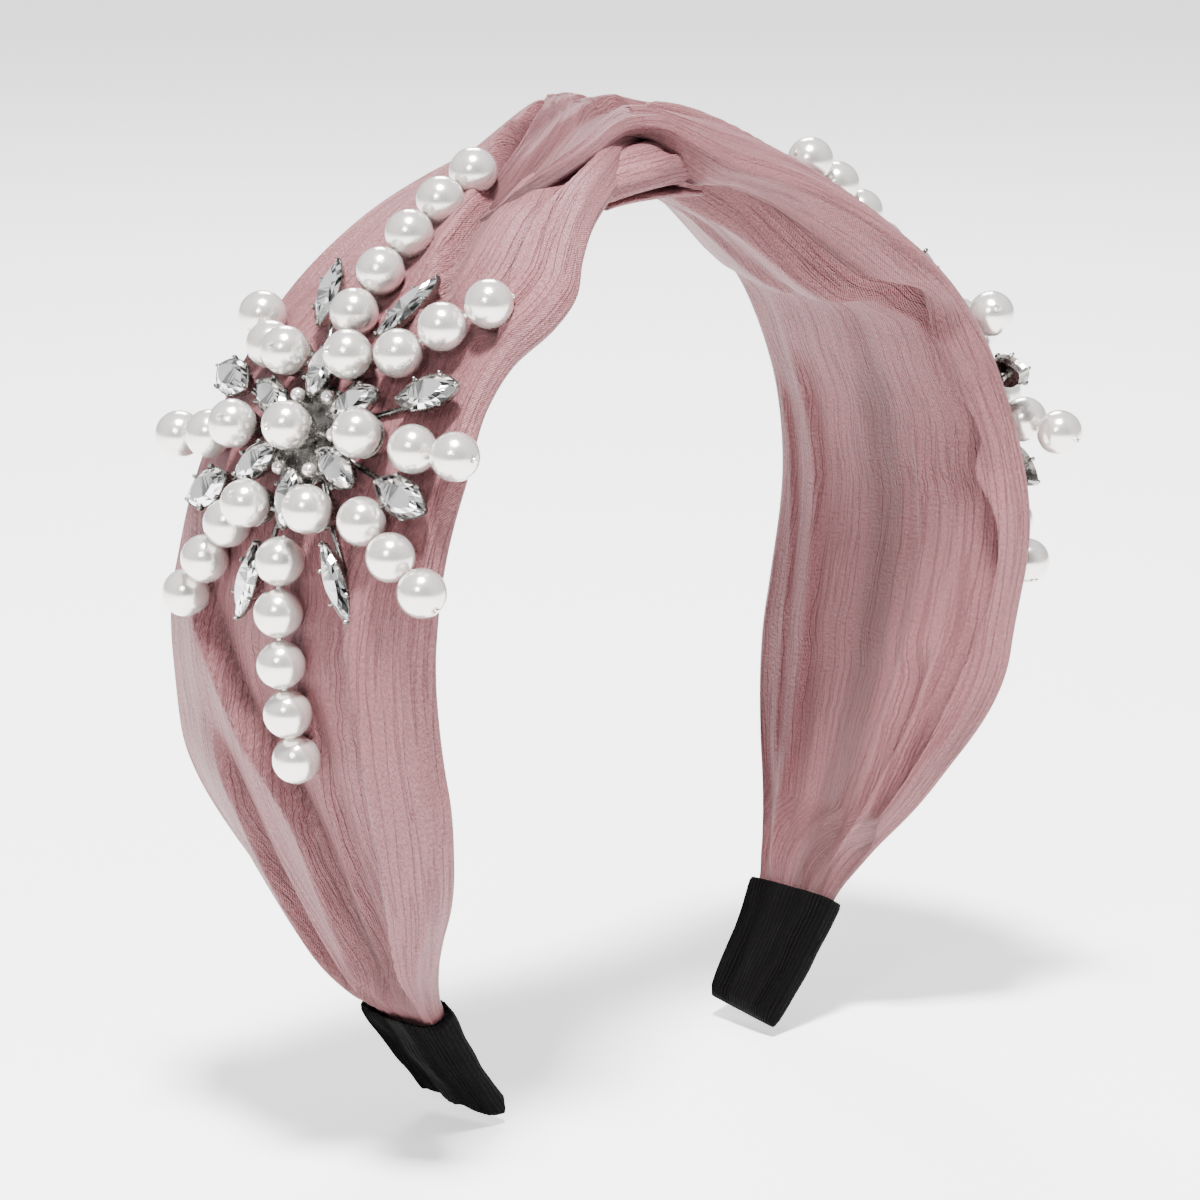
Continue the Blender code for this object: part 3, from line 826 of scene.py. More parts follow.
@dataclass(frozen=True)
class Panel:
    """One crinkled panel of fabric round an arm, from the knot to the end sleeve."""

    side: Side
    start: float
    end: float
    front_stretch: tuple[tuple[float, float], ...]
    back_stretch: tuple[tuple[float, float], ...]
    outer_height: tuple[tuple[float, float], ...]
    inner_height: tuple[tuple[float, float], ...]
    outer_folds: tuple[Fold, ...]
    inner_folds: tuple[Fold, ...]
    seed: float
    columns: int = 224
    rows: int = 250
    rim: float = 0.0013
    girth: float = 0.118
    lifted_to: float = 0.022
    crinkled: float = 1.0
    core_shows: float = 0.0
    # Strength of the painted shade at the folds' feet.
    fold_shade: float = 0.55
    stripe_middle: float = -0.0045
    stripe_half_width: float = 0.0042
    stripe_from: float = 0.060

    def pleats(self, along: Array, share: Array, inside: Array) -> Array:
        """Small lengthwise pleats, deepest where the cloth is gathered.

        Args:
            along: Distance along the hoop, positive.
            share: Share of the way across the cloth.
            inside: Whether a point is on the inner face.

        Returns:
            The change of height.
        """
        tight = np.exp(-np.maximum(HOOP.sleeve_from - along, 0.0) / 0.020)
        knotted = np.exp(-np.maximum(along - 0.004, 0.0) / 0.022)
        drift = cloud(along * 22.0, share * 2.2, 1.7) * 0.05
        broad = cloud((share + drift) * 7.0, along * 7.0, 3.1 + self.seed)
        fine = cloud((share + drift) * 19.0, along * 9.0 + inside * 5.0, 8.4 + self.seed)
        crease = cloud((share + drift) * 10.5, along * 6.0 + inside * 9.0, 5.5 + self.seed)
        ridge = 1.0 - 2.2 * np.abs(crease)
        gathered = 0.0013 * tight + 0.0009 * knotted
        large = (0.0008 + gathered) * broad + (0.0004 + gathered) * ridge * 0.5
        return large + (0.00008 + 0.4 * gathered) * fine

    def section(self, along: Array, share: Array, inside: Array) -> tuple[Array, Array]:
        """Place across and height of the cloth at a share of its width.

        Args:
            along: Signed distance along the hoop.
            share: Share of the way from the front edge to the back one.
            inside: 1 on the inner face and 0 on the outer one.

        Returns:
            Distance across the hoop and height off the core.
        """
        run = along * self.side.value
        front, back = COVER.edges(run)
        wave = cloud(run * 38.0, run * 0.0, self.seed) * 0.0009 * smoothstep(run / 0.03)
        front = front * ease_through(run, self.front_stretch) + wave
        back = back * ease_through(run, self.back_stretch) + wave * 0.7
        across = mix(front, back, share)
        crown = 1.0 - (2.0 * share - 1.0) ** 2
        closing = np.sqrt(np.clip(crown * 8.0, 0.0, 1.0))
        top = ease_through(run, self.outer_height)
        bottom = -ease_through(run, self.inner_height)
        middle = 0.5 * (top + bottom) * smoothstep((self.lifted_to - run) / 0.02)
        outer = middle + mix(self.rim, top - middle, crown**0.8)
        inner = middle - mix(self.rim, middle - bottom, crown**0.8)
        free = closing * mix(0.15, 1.0, smoothstep((HOOP.sleeve_from - run) / 0.016))
        for fold in self.outer_folds:
            outer = outer + fold.lift(run, across) * free
        for fold in self.inner_folds:
            inner = inner - fold.lift(run, across) * free
        calm = self.crinkled * mix(0.25, 1.0, smoothstep((HOOP.sleeve_from - run) / 0.005))
        small = self.pleats(run, share, inside) * calm
        outer = outer + small * closing
        inner = inner - small * closing
        height = np.where(inside > 0.5, inner, outer)
        return across, mix(middle, height, closing)

    def shape(self, round_share: Array, along_share: Array) -> tuple[Array, Array, Array, Array]:
        """Points of the whole tube.

        Args:
            round_share: Share of the way round, starting at the front edge over the outer face.
            along_share: Share of the way along.

        Returns:
            Points, girth of the cloth, thread place along, and how much the core seen through the cloth and
            the painted shade at the fold feet darken them.
        """
        along = mix(self.start, self.end, along_share) * self.side.value
        inside = (round_share > 0.5).astype(float)
        share = 0.5 - 0.5 * np.cos(math.tau * round_share)
        across, out = self.section(along, share, inside)
        points = HOOP.place(along, across, out)
        run = np.abs(along)
        stripe = np.exp(-(((across - self.stripe_middle) / self.stripe_half_width) ** 4))
        shade = self.core_shows * inside * stripe * smoothstep((run - self.stripe_from) / 0.03)
        # Painted shade at the foot of each fold joins the darkening where the core shows through.
        for folds, here in ((self.outer_folds, 1.0 - inside), (self.inner_folds, inside)):
            for fold in folds:
                dark = fold.crease(along * self.side.value, across)
                shade = np.maximum(shade, self.fold_shade * here * dark)
        return points, np.full_like(along, self.girth), along, shade

    def build(self, name: str, finishes: Finishes) -> bpy.types.Object:
        """Make and dress the panel.

        Args:
            name: Name of the piece.
            finishes: The headband's finishes.

        Returns:
            The finished piece.
        """
        obj = Bench.cloth(name, self.columns, self.rows, self.shape)
        finishes.dress(obj, finishes.satin, "satin")
        return obj


@dataclass(frozen=True)
class KnotFabric:
    """The two panels, and the wedge of the right one that crosses the knot on to the left."""

    hinge: float = 0.018
    give: float = 0.006

    def left(self) -> Panel:
        """The panel of the left arm, which comes out from under the knot.

        Returns:
            The panel.
        """
        return Panel(
            side=Side.LEFT,
            start=-0.004,
            end=HOOP.sleeve_from + 0.004,
            front_stretch=((-0.004, 0.30), (0.004, 0.50), (0.014, 0.80), (0.024, 0.98), (0.036, 1.16),
                           (0.044, 1.27), (0.050, 1.22), (0.058, 1.04), (0.066, 0.96), (0.080, 0.98),
                           (0.140, 0.98), (0.158, 1.11), (0.172, 1.08), (0.178, 0.98), (0.181, 0.92),
                           (0.19, 0.88)),
            back_stretch=((-0.004, 0.75), (0.010, 0.95), (0.030, 1.06), (0.060, 1.02), (0.176, 1.0),
                          (0.181, 0.92), (0.19, 0.88)),
            outer_height=((-0.004, 0.0035), (0.010, 0.0044), (0.030, 0.0050), (0.060, 0.0048),
                          (0.165, 0.0044), (0.176, 0.0032), (0.181, 0.0020), (0.190, 0.0016)),
            inner_height=((-0.004, 0.0020), (0.020, 0.0030), (0.060, 0.0034), (0.165, 0.0034),
                          (0.176, 0.0030), (0.181, 0.0020), (0.190, 0.0016)),
            outer_folds=(
                Fold(((-1, 10), (9, 7), (20, 1), (30, -4), (36, -6), (45, -9), (53, -13), (66, -17)), 1,
                     0.0032, 0.0045, 0.0018, fade=0.009),
                Fold(((-2, 10), (9, 7), (20, 1), (30, -4)), 1, 0.0032, 0.008, 0.0, fade=0.008),
                Fold(((-4, -3), (6, -6), (13, -11), (24, -15), (33, -18), (45, -23), (58, -28)), -1,
                     0.0026, 0.004, 0.0022, fade=0.006),
                Fold(((88, -14), (104, -17), (116, -18), (129, -19), (147, -17), (169, -10), (186, -4)),
                     -1, 0.0036, 0.008, 0.0022, lip=0.0014, fade=0.014),
                Fold(((96, 22), (112, 16), (121, 10), (130, 4), (139, -1), (152, -3), (172, -2),
                      (186, -1)), 1, 0.0032, 0.009, 0.0022, lip=0.0014, fade=0.014),
                Fold(((124, 19), (142, 14), (158, 10), (172, 5), (186, 3)), 1, 0.0024, 0.006, 0.0016,
                     lip=0.0014),
                Fold(((112, -4), (128, -7), (146, -8), (164, -5), (186, -2)), 1, 0.0014, 0.005, 0.0012,
                     lip=0.0016),
                Fold(((20, 8), (40, 6), (62, 4), (84, 6)), -1, 0.0008, 0.009, 0.0006, lip=0.003,
                     fade=0.02),
            ),
            inner_folds=(
                Fold(((20, 3), (50, 6), (80, 2), (120, 6), (150, 4), (180, 2)), 1, 0.0010, 0.006),
                Fold(((110, -14), (140, -12), (165, -6), (184, -3)), -1, 0.0010, 0.005),
            ),
            seed=0.0,
        )

    def right(self) -> Panel:
        """The panel of the right arm, which spreads from the middle of the knot.

        Returns:
            The panel.
        """
        return Panel(
            side=Side.RIGHT,
            start=-0.001,
            end=HOOP.sleeve_from + 0.004,
            front_stretch=((-0.037, 0.22), (-0.029, 0.40), (-0.020, 0.58), (-0.013, 0.62), (-0.008, 0.56),
                           (-0.001, 0.52), (0.003, 0.64), (0.008, 0.86), (0.014, 0.92), (0.035, 0.97),
                           (0.050, 1.0), (0.085, 1.02), (0.110, 1.09), (0.130, 1.04), (0.150, 1.06),
                           (0.166, 1.20), (0.176, 1.08), (0.181, 0.92), (0.19, 0.88)),
            back_stretch=((-0.037, -0.18), (-0.029, -0.17), (-0.020, 0.00), (-0.014, 0.17),
                          (-0.008, 0.40), (-0.001, 0.85), (0.010, 0.92), (0.030, 1.0), (0.050, 0.98),
                          (0.066, 0.88), (0.100, 0.87), (0.130, 0.92), (0.176, 1.0), (0.181, 0.92),
                          (0.19, 0.88)),
            outer_height=((-0.037, 0.0030), (-0.029, 0.0042), (-0.020, 0.0058), (-0.010, 0.0078),
                          (-0.001, 0.0090), (0.010, 0.0088), (0.020, 0.0074), (0.034, 0.0060),
                          (0.060, 0.0050), (0.165, 0.0046), (0.176, 0.0032), (0.181, 0.0020),
                          (0.190, 0.0016)),
            inner_height=((-0.037, -0.0026), (-0.029, -0.0036), (-0.020, -0.0042), (-0.001, -0.0048),
                          (0.002, -0.0040), (0.006, 0.0002), (0.010, 0.0038), (0.018, 0.0058),
                          (0.030, 0.0078), (0.040, 0.0098), (0.049, 0.0106), (0.055, 0.0092),
                          (0.060, 0.0042), (0.065, 0.0026), (0.076, 0.0032), (0.165, 0.0034),
                          (0.176, 0.0030), (0.181, 0.0020), (0.190, 0.0016)),
            outer_folds=(
                Fold(((-34, -5), (-22, -4), (-10, -1), (0, 2), (14, 2), (30, 0), (48, -4), (66, -9),
                      (84, -14)), 1, 0.0013, 0.008, 0.0010, fade=0.006),
                Fold(((-34, -7), (-22, -9), (-10, -7), (0, -3), (15, -5), (30, -9), (48, -14), (66, -20)),
                     -1, 0.0012, 0.005, 0.0009, fade=0.006),
                Fold(((-20, -1), (-8, 5), (2, 9), (18, 10), (36, 8), (60, 3)), 1, 0.0012, 0.006, 0.0009,
                     fade=0.008),
                Fold(((96, 12), (120, 10), (150, 6), (184, 2)), 1, 0.0012, 0.008),
                Fold(((110, -12), (140, -12), (165, -8), (184, -4)), -1, 0.0012, 0.006),
            ),
            inner_folds=(
                Fold(((8, -3), (20, -6), (34, -9), (48, -13), (60, -17), (72, -22)), 1, 0.0016, 0.010,
                     0.0056, lip=0.0036, fade=0.010),
                Fold(((16, 6), (28, 4), (40, 1), (50, -3), (60, -8)), 1, 0.0006, 0.004, 0.0008,
                     lip=0.0024),
                Fold(((62, -19), (72, -26), (80, -26), (88, -29), (97, -27), (106, -31), (118, -31),
                      (134, -27), (150, -22), (166, -15), (184, -7)), -1, 0.0034, 0.006, 0.0030,
                     lip=0.0014, fade=0.008),
                Fold(((128, -19), (144, -17), (160, -12), (172, -8), (184, -4)), -1, 0.0014, 0.004,
                     0.0020, lip=0.0014),
                Fold(((76, 14), (95, 12), (125, 11), (155, 8), (182, 4)), 1, 0.0009, 0.005, 0.0008,
                     lip=0.0020),
                Fold(((84, 20), (110, 19), (140, 16), (165, 10)), 1, 0.0007, 0.003, 0.0006),
                Fold(((90, -12), (120, -13), (150, -10), (180, -4)), -1, 0.0012, 0.004, 0.0009,
                     lip=0.0020),
            ),
            seed=4.0,
            core_shows=0.55,
        )

    def wedge(self) -> Panel:
        """The end of the right panel, which crosses the knot and is tucked under the left one's fold."""
        return replace(self.right(), start=-0.0365, end=-0.001, rows=90, crinkled=0.5)

    def under_fold(self) -> Panel:
        """The cloth wrapped round the core under the crossing.

        Returns:
            The panel.
        """
        return Panel(
            side=Side.RIGHT,
            start=-0.0172,
            end=0.0172,
            front_stretch=((-0.018, 0.70), (-0.002, 0.80), (0.006, 0.62), (0.018, 0.40)),
            back_stretch=((-0.018, 0.90), (0.018, 0.90)),
            outer_height=((-0.018, 0.0030), (0.0, 0.0036), (0.018, 0.0022)),
            inner_height=((-0.018, 0.0036), (-0.010, 0.0031), (0.0, 0.0029), (0.010, 0.0031),
                          (0.018, 0.0044)),
            outer_folds=(),
            inner_folds=(
                Fold(((-16, -12), (-6, -8), (4, -9), (16, -13)), -1, 0.0005, 0.004, 0.0006, fade=0.004),
                Fold(((-16, 4), (0, 5), (16, 8)), 1, 0.0003, 0.004, 0.0005, fade=0.004),
            ),
            seed=9.0,
            columns=160,
            rows=60,
            girth=0.066,
            rim=0.0022,
            lifted_to=-1.0,
        )

    def lining(self) -> Panel:
        """The small flat lining that rests on the head.

        Returns:
            The panel.
        """
        return Panel(
            side=Side.RIGHT,
            start=-0.0119,
            end=0.0119,
            front_stretch=((-0.012, 0.585), (0.012, 0.585)),
            back_stretch=((-0.012, 0.635), (0.012, 0.635)),
            outer_height=((-0.012, -0.0040), (0.0, -0.0038), (0.012, -0.0040)),
            inner_height=((-0.012, 0.0049), (0.0, 0.0058), (0.012, 0.0049)),
            outer_folds=(),
            inner_folds=(),
            seed=12.0,
            columns=96,
            rows=40,
            rim=0.0005,
            girth=0.044,
            lifted_to=1.0,
            crinkled=0.12,
        )


@dataclass(frozen=True)
class EndSleeve:
    """Ribbed knit sleeve drawn over a tip, flat, with a turned seam along its back edge."""

    side: Side
    half_width: float = 0.0098
    tip_half_width: float = 0.0082
    half_thickness: float = 0.0034
    tip_half_thickness: float = 0.0024
    ribs: int = 24
    rib_height: float = 0.00016
    hem: float = 0.0022
    tip: float = 0.0016
    girth: float = 0.042
    columns: int = 384
    rows: int = 72

    def shape(self, round_share: Array, along_share: Array) -> tuple[Array, Array, Array, Array]:
        """Points of the sleeve, from the turned-in mouth to the sewn tip.

        Args:
            round_share: Share of the way round.
            along_share: Share of the way along the cloth.

        Returns:
            Points, girth of the knit, thread place along, and no darkening from the core or painted shade.
        """
        total = self.hem + HOOP.sleeve_length
        run = along_share * total - self.hem
        from_mouth = np.abs(run)
        share = np.clip(from_mouth / HOOP.sleeve_length, 0.0, 1.0)
        wide = mix(self.half_width, self.tip_half_width, share)
        thick = mix(self.half_thickness, self.tip_half_thickness, share)
        turned = smoothstep(-run / self.hem)
        roll = np.minimum(from_mouth / 0.0009, 1.0)
        roll = np.sqrt(np.clip(1.0 - (1.0 - roll) ** 2, 0.0, 1.0))
        closing = np.sqrt(np.clip((HOOP.sleeve_length - run) / self.tip, 0.0, 1.0))
        squeeze = np.where(run < 0, 1.0 - 0.16 * roll - 0.12 * turned, 0.90 + 0.10 * roll)
        angle = math.tau * round_share
        cos, sin = np.cos(angle), np.sin(angle)
        across = np.sign(cos) * np.abs(cos) ** 0.55 * wide * squeeze
        out = np.sign(sin) * np.abs(sin) ** 0.62 * thick * squeeze * mix(0.22, 1.0, closing)
        place = across / wide
        rib = np.cos(math.pi * self.ribs * place) * self.rib_height * np.abs(sin) ** 0.3
        worn = cloud(place * 3.0 + self.side.value, run * 160.0, 2.0) * 0.00045
        fold = np.exp(-(((place - 0.55 + 12.0 * (run - 0.012)) / 0.16) ** 2))
        fold = -0.0009 * fold * smoothstep(run / 0.008)
        seam = 0.0005 * np.exp(-(((place - 0.93) / 0.05) ** 2))
        out = out + np.sign(sin) * (rib + worn + fold + seam) * np.minimum(closing, 1.0)
        slant = -0.0012 * place * smoothstep((share - 0.6) / 0.4)
        along = (HOOP.sleeve_from + from_mouth + slant) * self.side.value
        girth = np.full_like(run, self.girth)
        return HOOP.place(along, across, out), girth, run, np.zeros_like(run)

    def build(self, finishes: Finishes) -> bpy.types.Object:
        """Make and dress the sleeve.

        Args:
            finishes: The headband's finishes.

        Returns:
            The finished piece.
        """
        obj = Bench.cloth(f"{self.side.word}_knit_sleeve", self.columns, self.rows, self.shape)
        finishes.dress(obj, finishes.knit, "sleeve_knit")
        return obj


@dataclass(frozen=True)
class Stone:
    """Pointed oval stone with a table, rows of crown facets and a keel below.

    The facets draw their painted reflection brightness in the order in which they lie along
    draw_heading, because the order of faces in the mesh isn't the same on every run.
    """

    cut: Cut
    crown: float = 0.0015
    pavilion: float = 0.0012
    corners: int = 24
    crown_steps: tuple[tuple[float, float], ...] = ((0.25, 0.98), (0.45, 0.80), (0.30, 0.74))
    keel_steps: tuple[tuple[float, float], ...] = ((0.6, 0.55), (0.4, 0.3))
    cup_wall: float = 0.00018
    cup_floor: float = 0.0002
    lip_height: float = 0.0005
    claw_radius: float = 0.00042
    claw_inset: float = 0.0004
    draw_heading: tuple[float, float, float] = (0.731, 0.419, 1.618)

    def outline(self, obj: bpy.types.Object, spare: float) -> None:
        """Draw a round outline out to the stone's own.

        Args:
            obj: The round outline.
            spare: How much wider the outline is all round.
        """
        length, width = self.cut.value[:2]
        radius = (length * length / 4 + width * width / 4) / width
        for vert in obj.data.vertices:
            angle = math.atan2(vert.co.y, vert.co.x)
            x = (length / 2 + spare) * math.cos(angle) * (1.0 - 0.06 * math.sin(2 * angle) ** 2)
            inner = min(abs(x), length / 2) * length / (length + 2 * spare)
            rise = math.sqrt(radius * radius - inner * inner) - (radius - width / 2) + spare * 0.8
            vert.co.x = x
            vert.co.y = math.copysign(max(rise, 0.0), vert.co.y) if abs(vert.co.y) > 1e-5 else 0.0

    def ring(self, height: float, share: float) -> None:
        """Extrude the picked face by a height and draw it in to a share of its size."""
        bpy.ops.mesh.extrude_region_move(TRANSFORM_OT_translate={"value": (0.0, 0.0, height)})
        bpy.ops.transform.resize(value=(share, share, 1.0), center_override=(0.0, 0.0, 0.0))

    def model(self, seed: int) -> bpy.types.Object:
        """Make one stone about the origin, long along x.

        Args:
            seed: Number that settles the painted reflection brightness of its facets.

        Returns:
            The stone.
        """
        Bench.clear_selection()
        bpy.ops.mesh.primitive_circle_add(vertices=self.corners, radius=0.002, fill_type="NGON")
        obj = Bench.named("stone")
        self.outline(obj, 0.0)
        Bench.pick_faces(obj, lambda middle, normal: True)
        for height, share in self.crown_steps:
            self.ring(self.crown * height, share)
        bpy.ops.mesh.select_all(action="SELECT")
        bpy.ops.mesh.fill_holes(sides=0)
        bpy.ops.mesh.normals_make_consistent(inside=False)
        bpy.ops.object.mode_set(mode="OBJECT")
        Bench.pick_faces(obj, lambda middle, normal: normal.z < -0.9 and abs(middle.z) < SAME_PLACE)
        for height, share in self.keel_steps:
            self.ring(-self.pavilion * height, share)
        bpy.ops.mesh.select_all(action="SELECT")
        bpy.ops.mesh.quads_convert_to_tris(quad_method="LONGEST_DIAGONAL", ngon_method="BEAUTY")
        bpy.ops.mesh.normals_make_consistent(inside=False)
        bpy.ops.object.mode_set(mode="OBJECT")
        # Each face gets a random painted reflection brightness, from dark to bright.
        chance = np.random.default_rng(seed)
        places = np.array([face.center[:] for face in obj.data.polygons])
        values = np.empty(len(places))
        values[np.argsort(places @ np.array(self.draw_heading))] = chance.beta(0.55, 0.60, len(places))
        # The table faces get a painted highlight, brighter towards +x and darker towards +y.
        for face in obj.data.polygons:
            if face.normal.z > 0.98:
                values[face.index] = 0.55 + 0.4 * (face.center.x > 0.0) - 0.25 * (face.center.y > 0.0)
        layer = obj.data.attributes.new("facet", "FLOAT", "FACE")
        layer.data.foreach_set("value", values.astype(np.float32))
        obj.data.shade_flat()
        return obj

    def cup(self) -> bpy.types.Object:
        """Make the metal cup that holds the stone, with a claw at each end and two on each side.

        Returns:
            The cup.
        """
        Bench.clear_selection()
        bpy.ops.mesh.primitive_circle_add(vertices=self.corners, radius=0.002, fill_type="NGON")
        obj = Bench.named("cup")
        self.outline(obj, self.cup_wall)
        obj.data.transform(Matrix.Translation((0.0, 0.0, -self.pavilion - self.cup_floor)))
        Bench.pick_faces(obj, lambda middle, normal: True)
        bpy.ops.transform.resize(value=(0.84, 0.84, 1.0), center_override=(0.0, 0.0, 0.0))
        self.ring(self.pavilion * 0.7, 1.14)
        self.ring(self.pavilion * 0.3 + self.lip_height, 1.05)
        self.ring(0.0, 0.93)
        self.ring(-0.0004, 1.0)
        bpy.ops.object.mode_set(mode="OBJECT")
        Bench.close(obj)
        length, width = self.cut.value[:2]
        claws = [obj]
        spots = [(length / 2 - self.claw_inset, 0.0), (self.claw_inset - length / 2, 0.0)]
        spots += [(x * length * 0.2, y * width * 0.47) for x in (-1, 1) for y in (-1, 1)]
        for x, y in spots:
            Bench.clear_selection()
            bpy.ops.mesh.primitive_uv_sphere_add(
                segments=10, ring_count=6, radius=self.claw_radius, location=(x, y, self.claw_radius)
            )
            claw = Bench.named("claw")
            bpy.ops.object.transform_apply(location=True, rotation=False, scale=False)
            bpy.ops.object.mode_set(mode="EDIT")
            bpy.ops.mesh.select_all(action="SELECT")
            bpy.ops.transform.resize(value=(1.0, 1.0, 1.5), center_override=(x, y, 0.0003))
            bpy.ops.object.mode_set(mode="OBJECT")
            claws.append(claw)
        return Bench.join("cup", claws)


@dataclass(frozen=True)
class Brooch:
    """Pearls, stones and silver setting of one brooch, and the pearl strings that run out of it."""

    side: Side
    along: float
    across: float
    hand: int
    pearl_radius: float = 0.004
    gap: float = 0.0003
    pitch: float = 0.0083
    thread: float = 0.0004
    ring_radius: float = 0.0144
    ring_turn: float = 25.0
    ring_count: int = 6
    ring_lift: float = 0.0026
    centre_lift: float = 0.0036
    petal_turn: float = 55.0
    wire_lift: float = 0.0009
    wire_radius: float = 0.0005
    hub_radius: float = 0.0086
    hub_thickness: float = 0.0010
    seed_radius: float = 0.0070
    seed_size: float = 0.0012
    seed_stem: float = 0.0016
    seed_lift: float = 0.0022
    bowl_share: float = 0.86
    bowl_height: float = 0.0020
    bowl_lift: float = 0.0006
    centre_post: float = 0.0012
    ring_post: float = 0.0010
    seed_post: float = 0.0007
    stone_post: float = 0.0009
    petal_post: float = 0.0008
    post_gap: float = 0.0011
    strings: tuple[tuple[int, float, float, int], ...] = (
        (12, 0.0, 0.0212, 5),
        (1, 40.0, 0.0208, 3),
        (3, 87.0, 0.0236, 2),
        (4, 124.0, 0.0212, 3),
        (6, 176.0, 0.0210, 5),
        (7, 217.0, 0.0212, 3),
        (9, 262.0, 0.0236, 2),
        (10, 310.0, 0.0208, 2),
    )
    stones: tuple[tuple[int, float, Cut], ...] = (
        (1, 21.0, Cut.SLIM),
        (2, 63.0, Cut.BROAD),
        (4, 106.0, Cut.BROAD),
        (5, 149.0, Cut.SLIM),
        (7, 195.0, Cut.SLIM),
        (8, 240.0, Cut.BROAD),
        (10, 287.0, Cut.BROAD),
        (11, 339.0, Cut.SLIM),
    )

    def place(self, angle: float, radius: float, lift: float) -> Matrix:
        """Place on the fabric from the brooch's middle: x outwards, z off the fabric.

        Args:
            angle: Degrees round from twelve o'clock, which points to the crown.
            radius: Distance from the middle.
            lift: Height off the fabric.

        Returns:
            The place as a matrix.
        """
        stretch = HOOP.crown_radius / (HOOP.crown_radius + COVER.outside + self.pearl_radius)
        upwards = math.cos(math.radians(angle)) * stretch
        forwards = math.sin(math.radians(angle)) * self.hand

        def point(at: float) -> Vector:
            """Point at a distance from the middle."""
            run = self.along - at * upwards
            sideways = self.across - at * forwards
            out = COVER.height(run, sideways, COVER.outside) + lift
            return Vector(HOOP.place(run * self.side.value, sideways, out))

        nearby = self.pearl_radius / 8
        outwards = (point(radius + nearby) - point(radius - nearby)).normalized()
        normal = HOOP.outward((self.along - radius * upwards) * self.side.value)
        aside = normal.cross(outwards).normalized()
        spot = Matrix((outwards, aside, outwards.cross(aside))).transposed().to_4x4()
        spot.translation = point(radius)
        return spot

    def pearl(self) -> bpy.types.Object:
        """Make one pearl about the origin, drilled along x.

        Returns:
            The pearl.
        """
        Bench.clear_selection()
        bpy.ops.mesh.primitive_uv_sphere_add(segments=28, ring_count=18, radius=self.pearl_radius)
        obj = Bench.named("pearl")
        for sign in (1, -1):
            Bench.pick_faces(obj, lambda middle, normal: middle.z * sign > self.pearl_radius * 0.975)
            bpy.ops.mesh.extrude_region_move(
                TRANSFORM_OT_translate={"value": (0.0, 0.0, -sign * self.pearl_radius * 0.12)}
            )
            bpy.ops.transform.resize(value=(0.6, 0.6, 1.0), center_override=(0.0, 0.0, 0.0))
            bpy.ops.object.mode_set(mode="OBJECT")
        obj.data.transform(Matrix.Rotation(math.pi / 2, 4, "Y"))
        Bench.smooth(obj, 50.0)
        return obj

    def rod(self, start: Vector, end: Vector, radius: float) -> bpy.types.Object:
        """Make a round wire with its ends rounded off.

        Args:
            start: Middle of one end.
            end: Middle of the other.
            radius: Radius of the wire.

        Returns:
            The wire.
        """
        Bench.clear_selection()
        bpy.ops.mesh.primitive_cylinder_add(vertices=10, radius=radius, depth=(end - start).length)
        obj = Bench.named("wire")
        Bench.pick_faces(obj, lambda middle, normal: abs(normal.z) > 0.9)
        bpy.ops.mesh.inset(thickness=radius * 0.35, depth=radius * 0.3)
        bpy.ops.object.mode_set(mode="OBJECT")
        turn = (end - start).to_track_quat("Z", "Y").to_matrix().to_4x4()
        turn.translation = (start + end) / 2
        obj.data.transform(turn)
        Bench.smooth(obj, 50.0)
        return obj

    def dish(self, radius: float, height: float) -> bpy.types.Object:
        """Make a shallow metal cup about the origin, open upwards.

        Args:
            radius: Radius at its mouth.
            height: Its height.

        Returns:
            The cup.
        """
        Bench.clear_selection()
        bpy.ops.mesh.primitive_cylinder_add(vertices=24, radius=radius * 0.8, depth=height)
        obj = Bench.named("dish")
        Bench.pick_faces(obj, lambda middle, normal: normal.z > 0.9)
        bpy.ops.transform.resize(value=(1.25, 1.25, 1.0), center_override=(0.0, 0.0, 0.0))
        bpy.ops.mesh.inset(thickness=radius * 0.1)
        bpy.ops.mesh.inset(thickness=radius * 0.2, depth=-height * 0.6)
        bpy.ops.object.mode_set(mode="OBJECT")
        Bench.smooth(obj, 40.0)
        return obj

    def ring_angles(self) -> list[float]:
        """Angles of the ring pearls."""
        return [self.ring_turn + 360.0 / self.ring_count * number for number in range(self.ring_count)]

    def petal_angles(self) -> list[float]:
        """Angles of the petal stones."""
        return [self.petal_turn + 360.0 / self.ring_count * number for number in range(self.ring_count)]

    def add(
        self, obj: bpy.types.Object, name: str, material: bpy.types.Material, slot: str, *nodes: str
    ) -> None:
        """Name, dress and mount one piece.

        Args:
            obj: The piece.
            name: Its name.
            material: Its material.
            slot: Passed to Finishes.dress, which does not use it.
            *nodes: The CAD nodes that it stands for.
        """
        obj.name = name
        obj.data.name = name
        Finishes.dress(obj, material, slot)
        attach(obj, self.side.arm)
        if nodes:
            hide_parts(*nodes)
        LOG.info("%s: %d faces", name, len(obj.data.polygons))

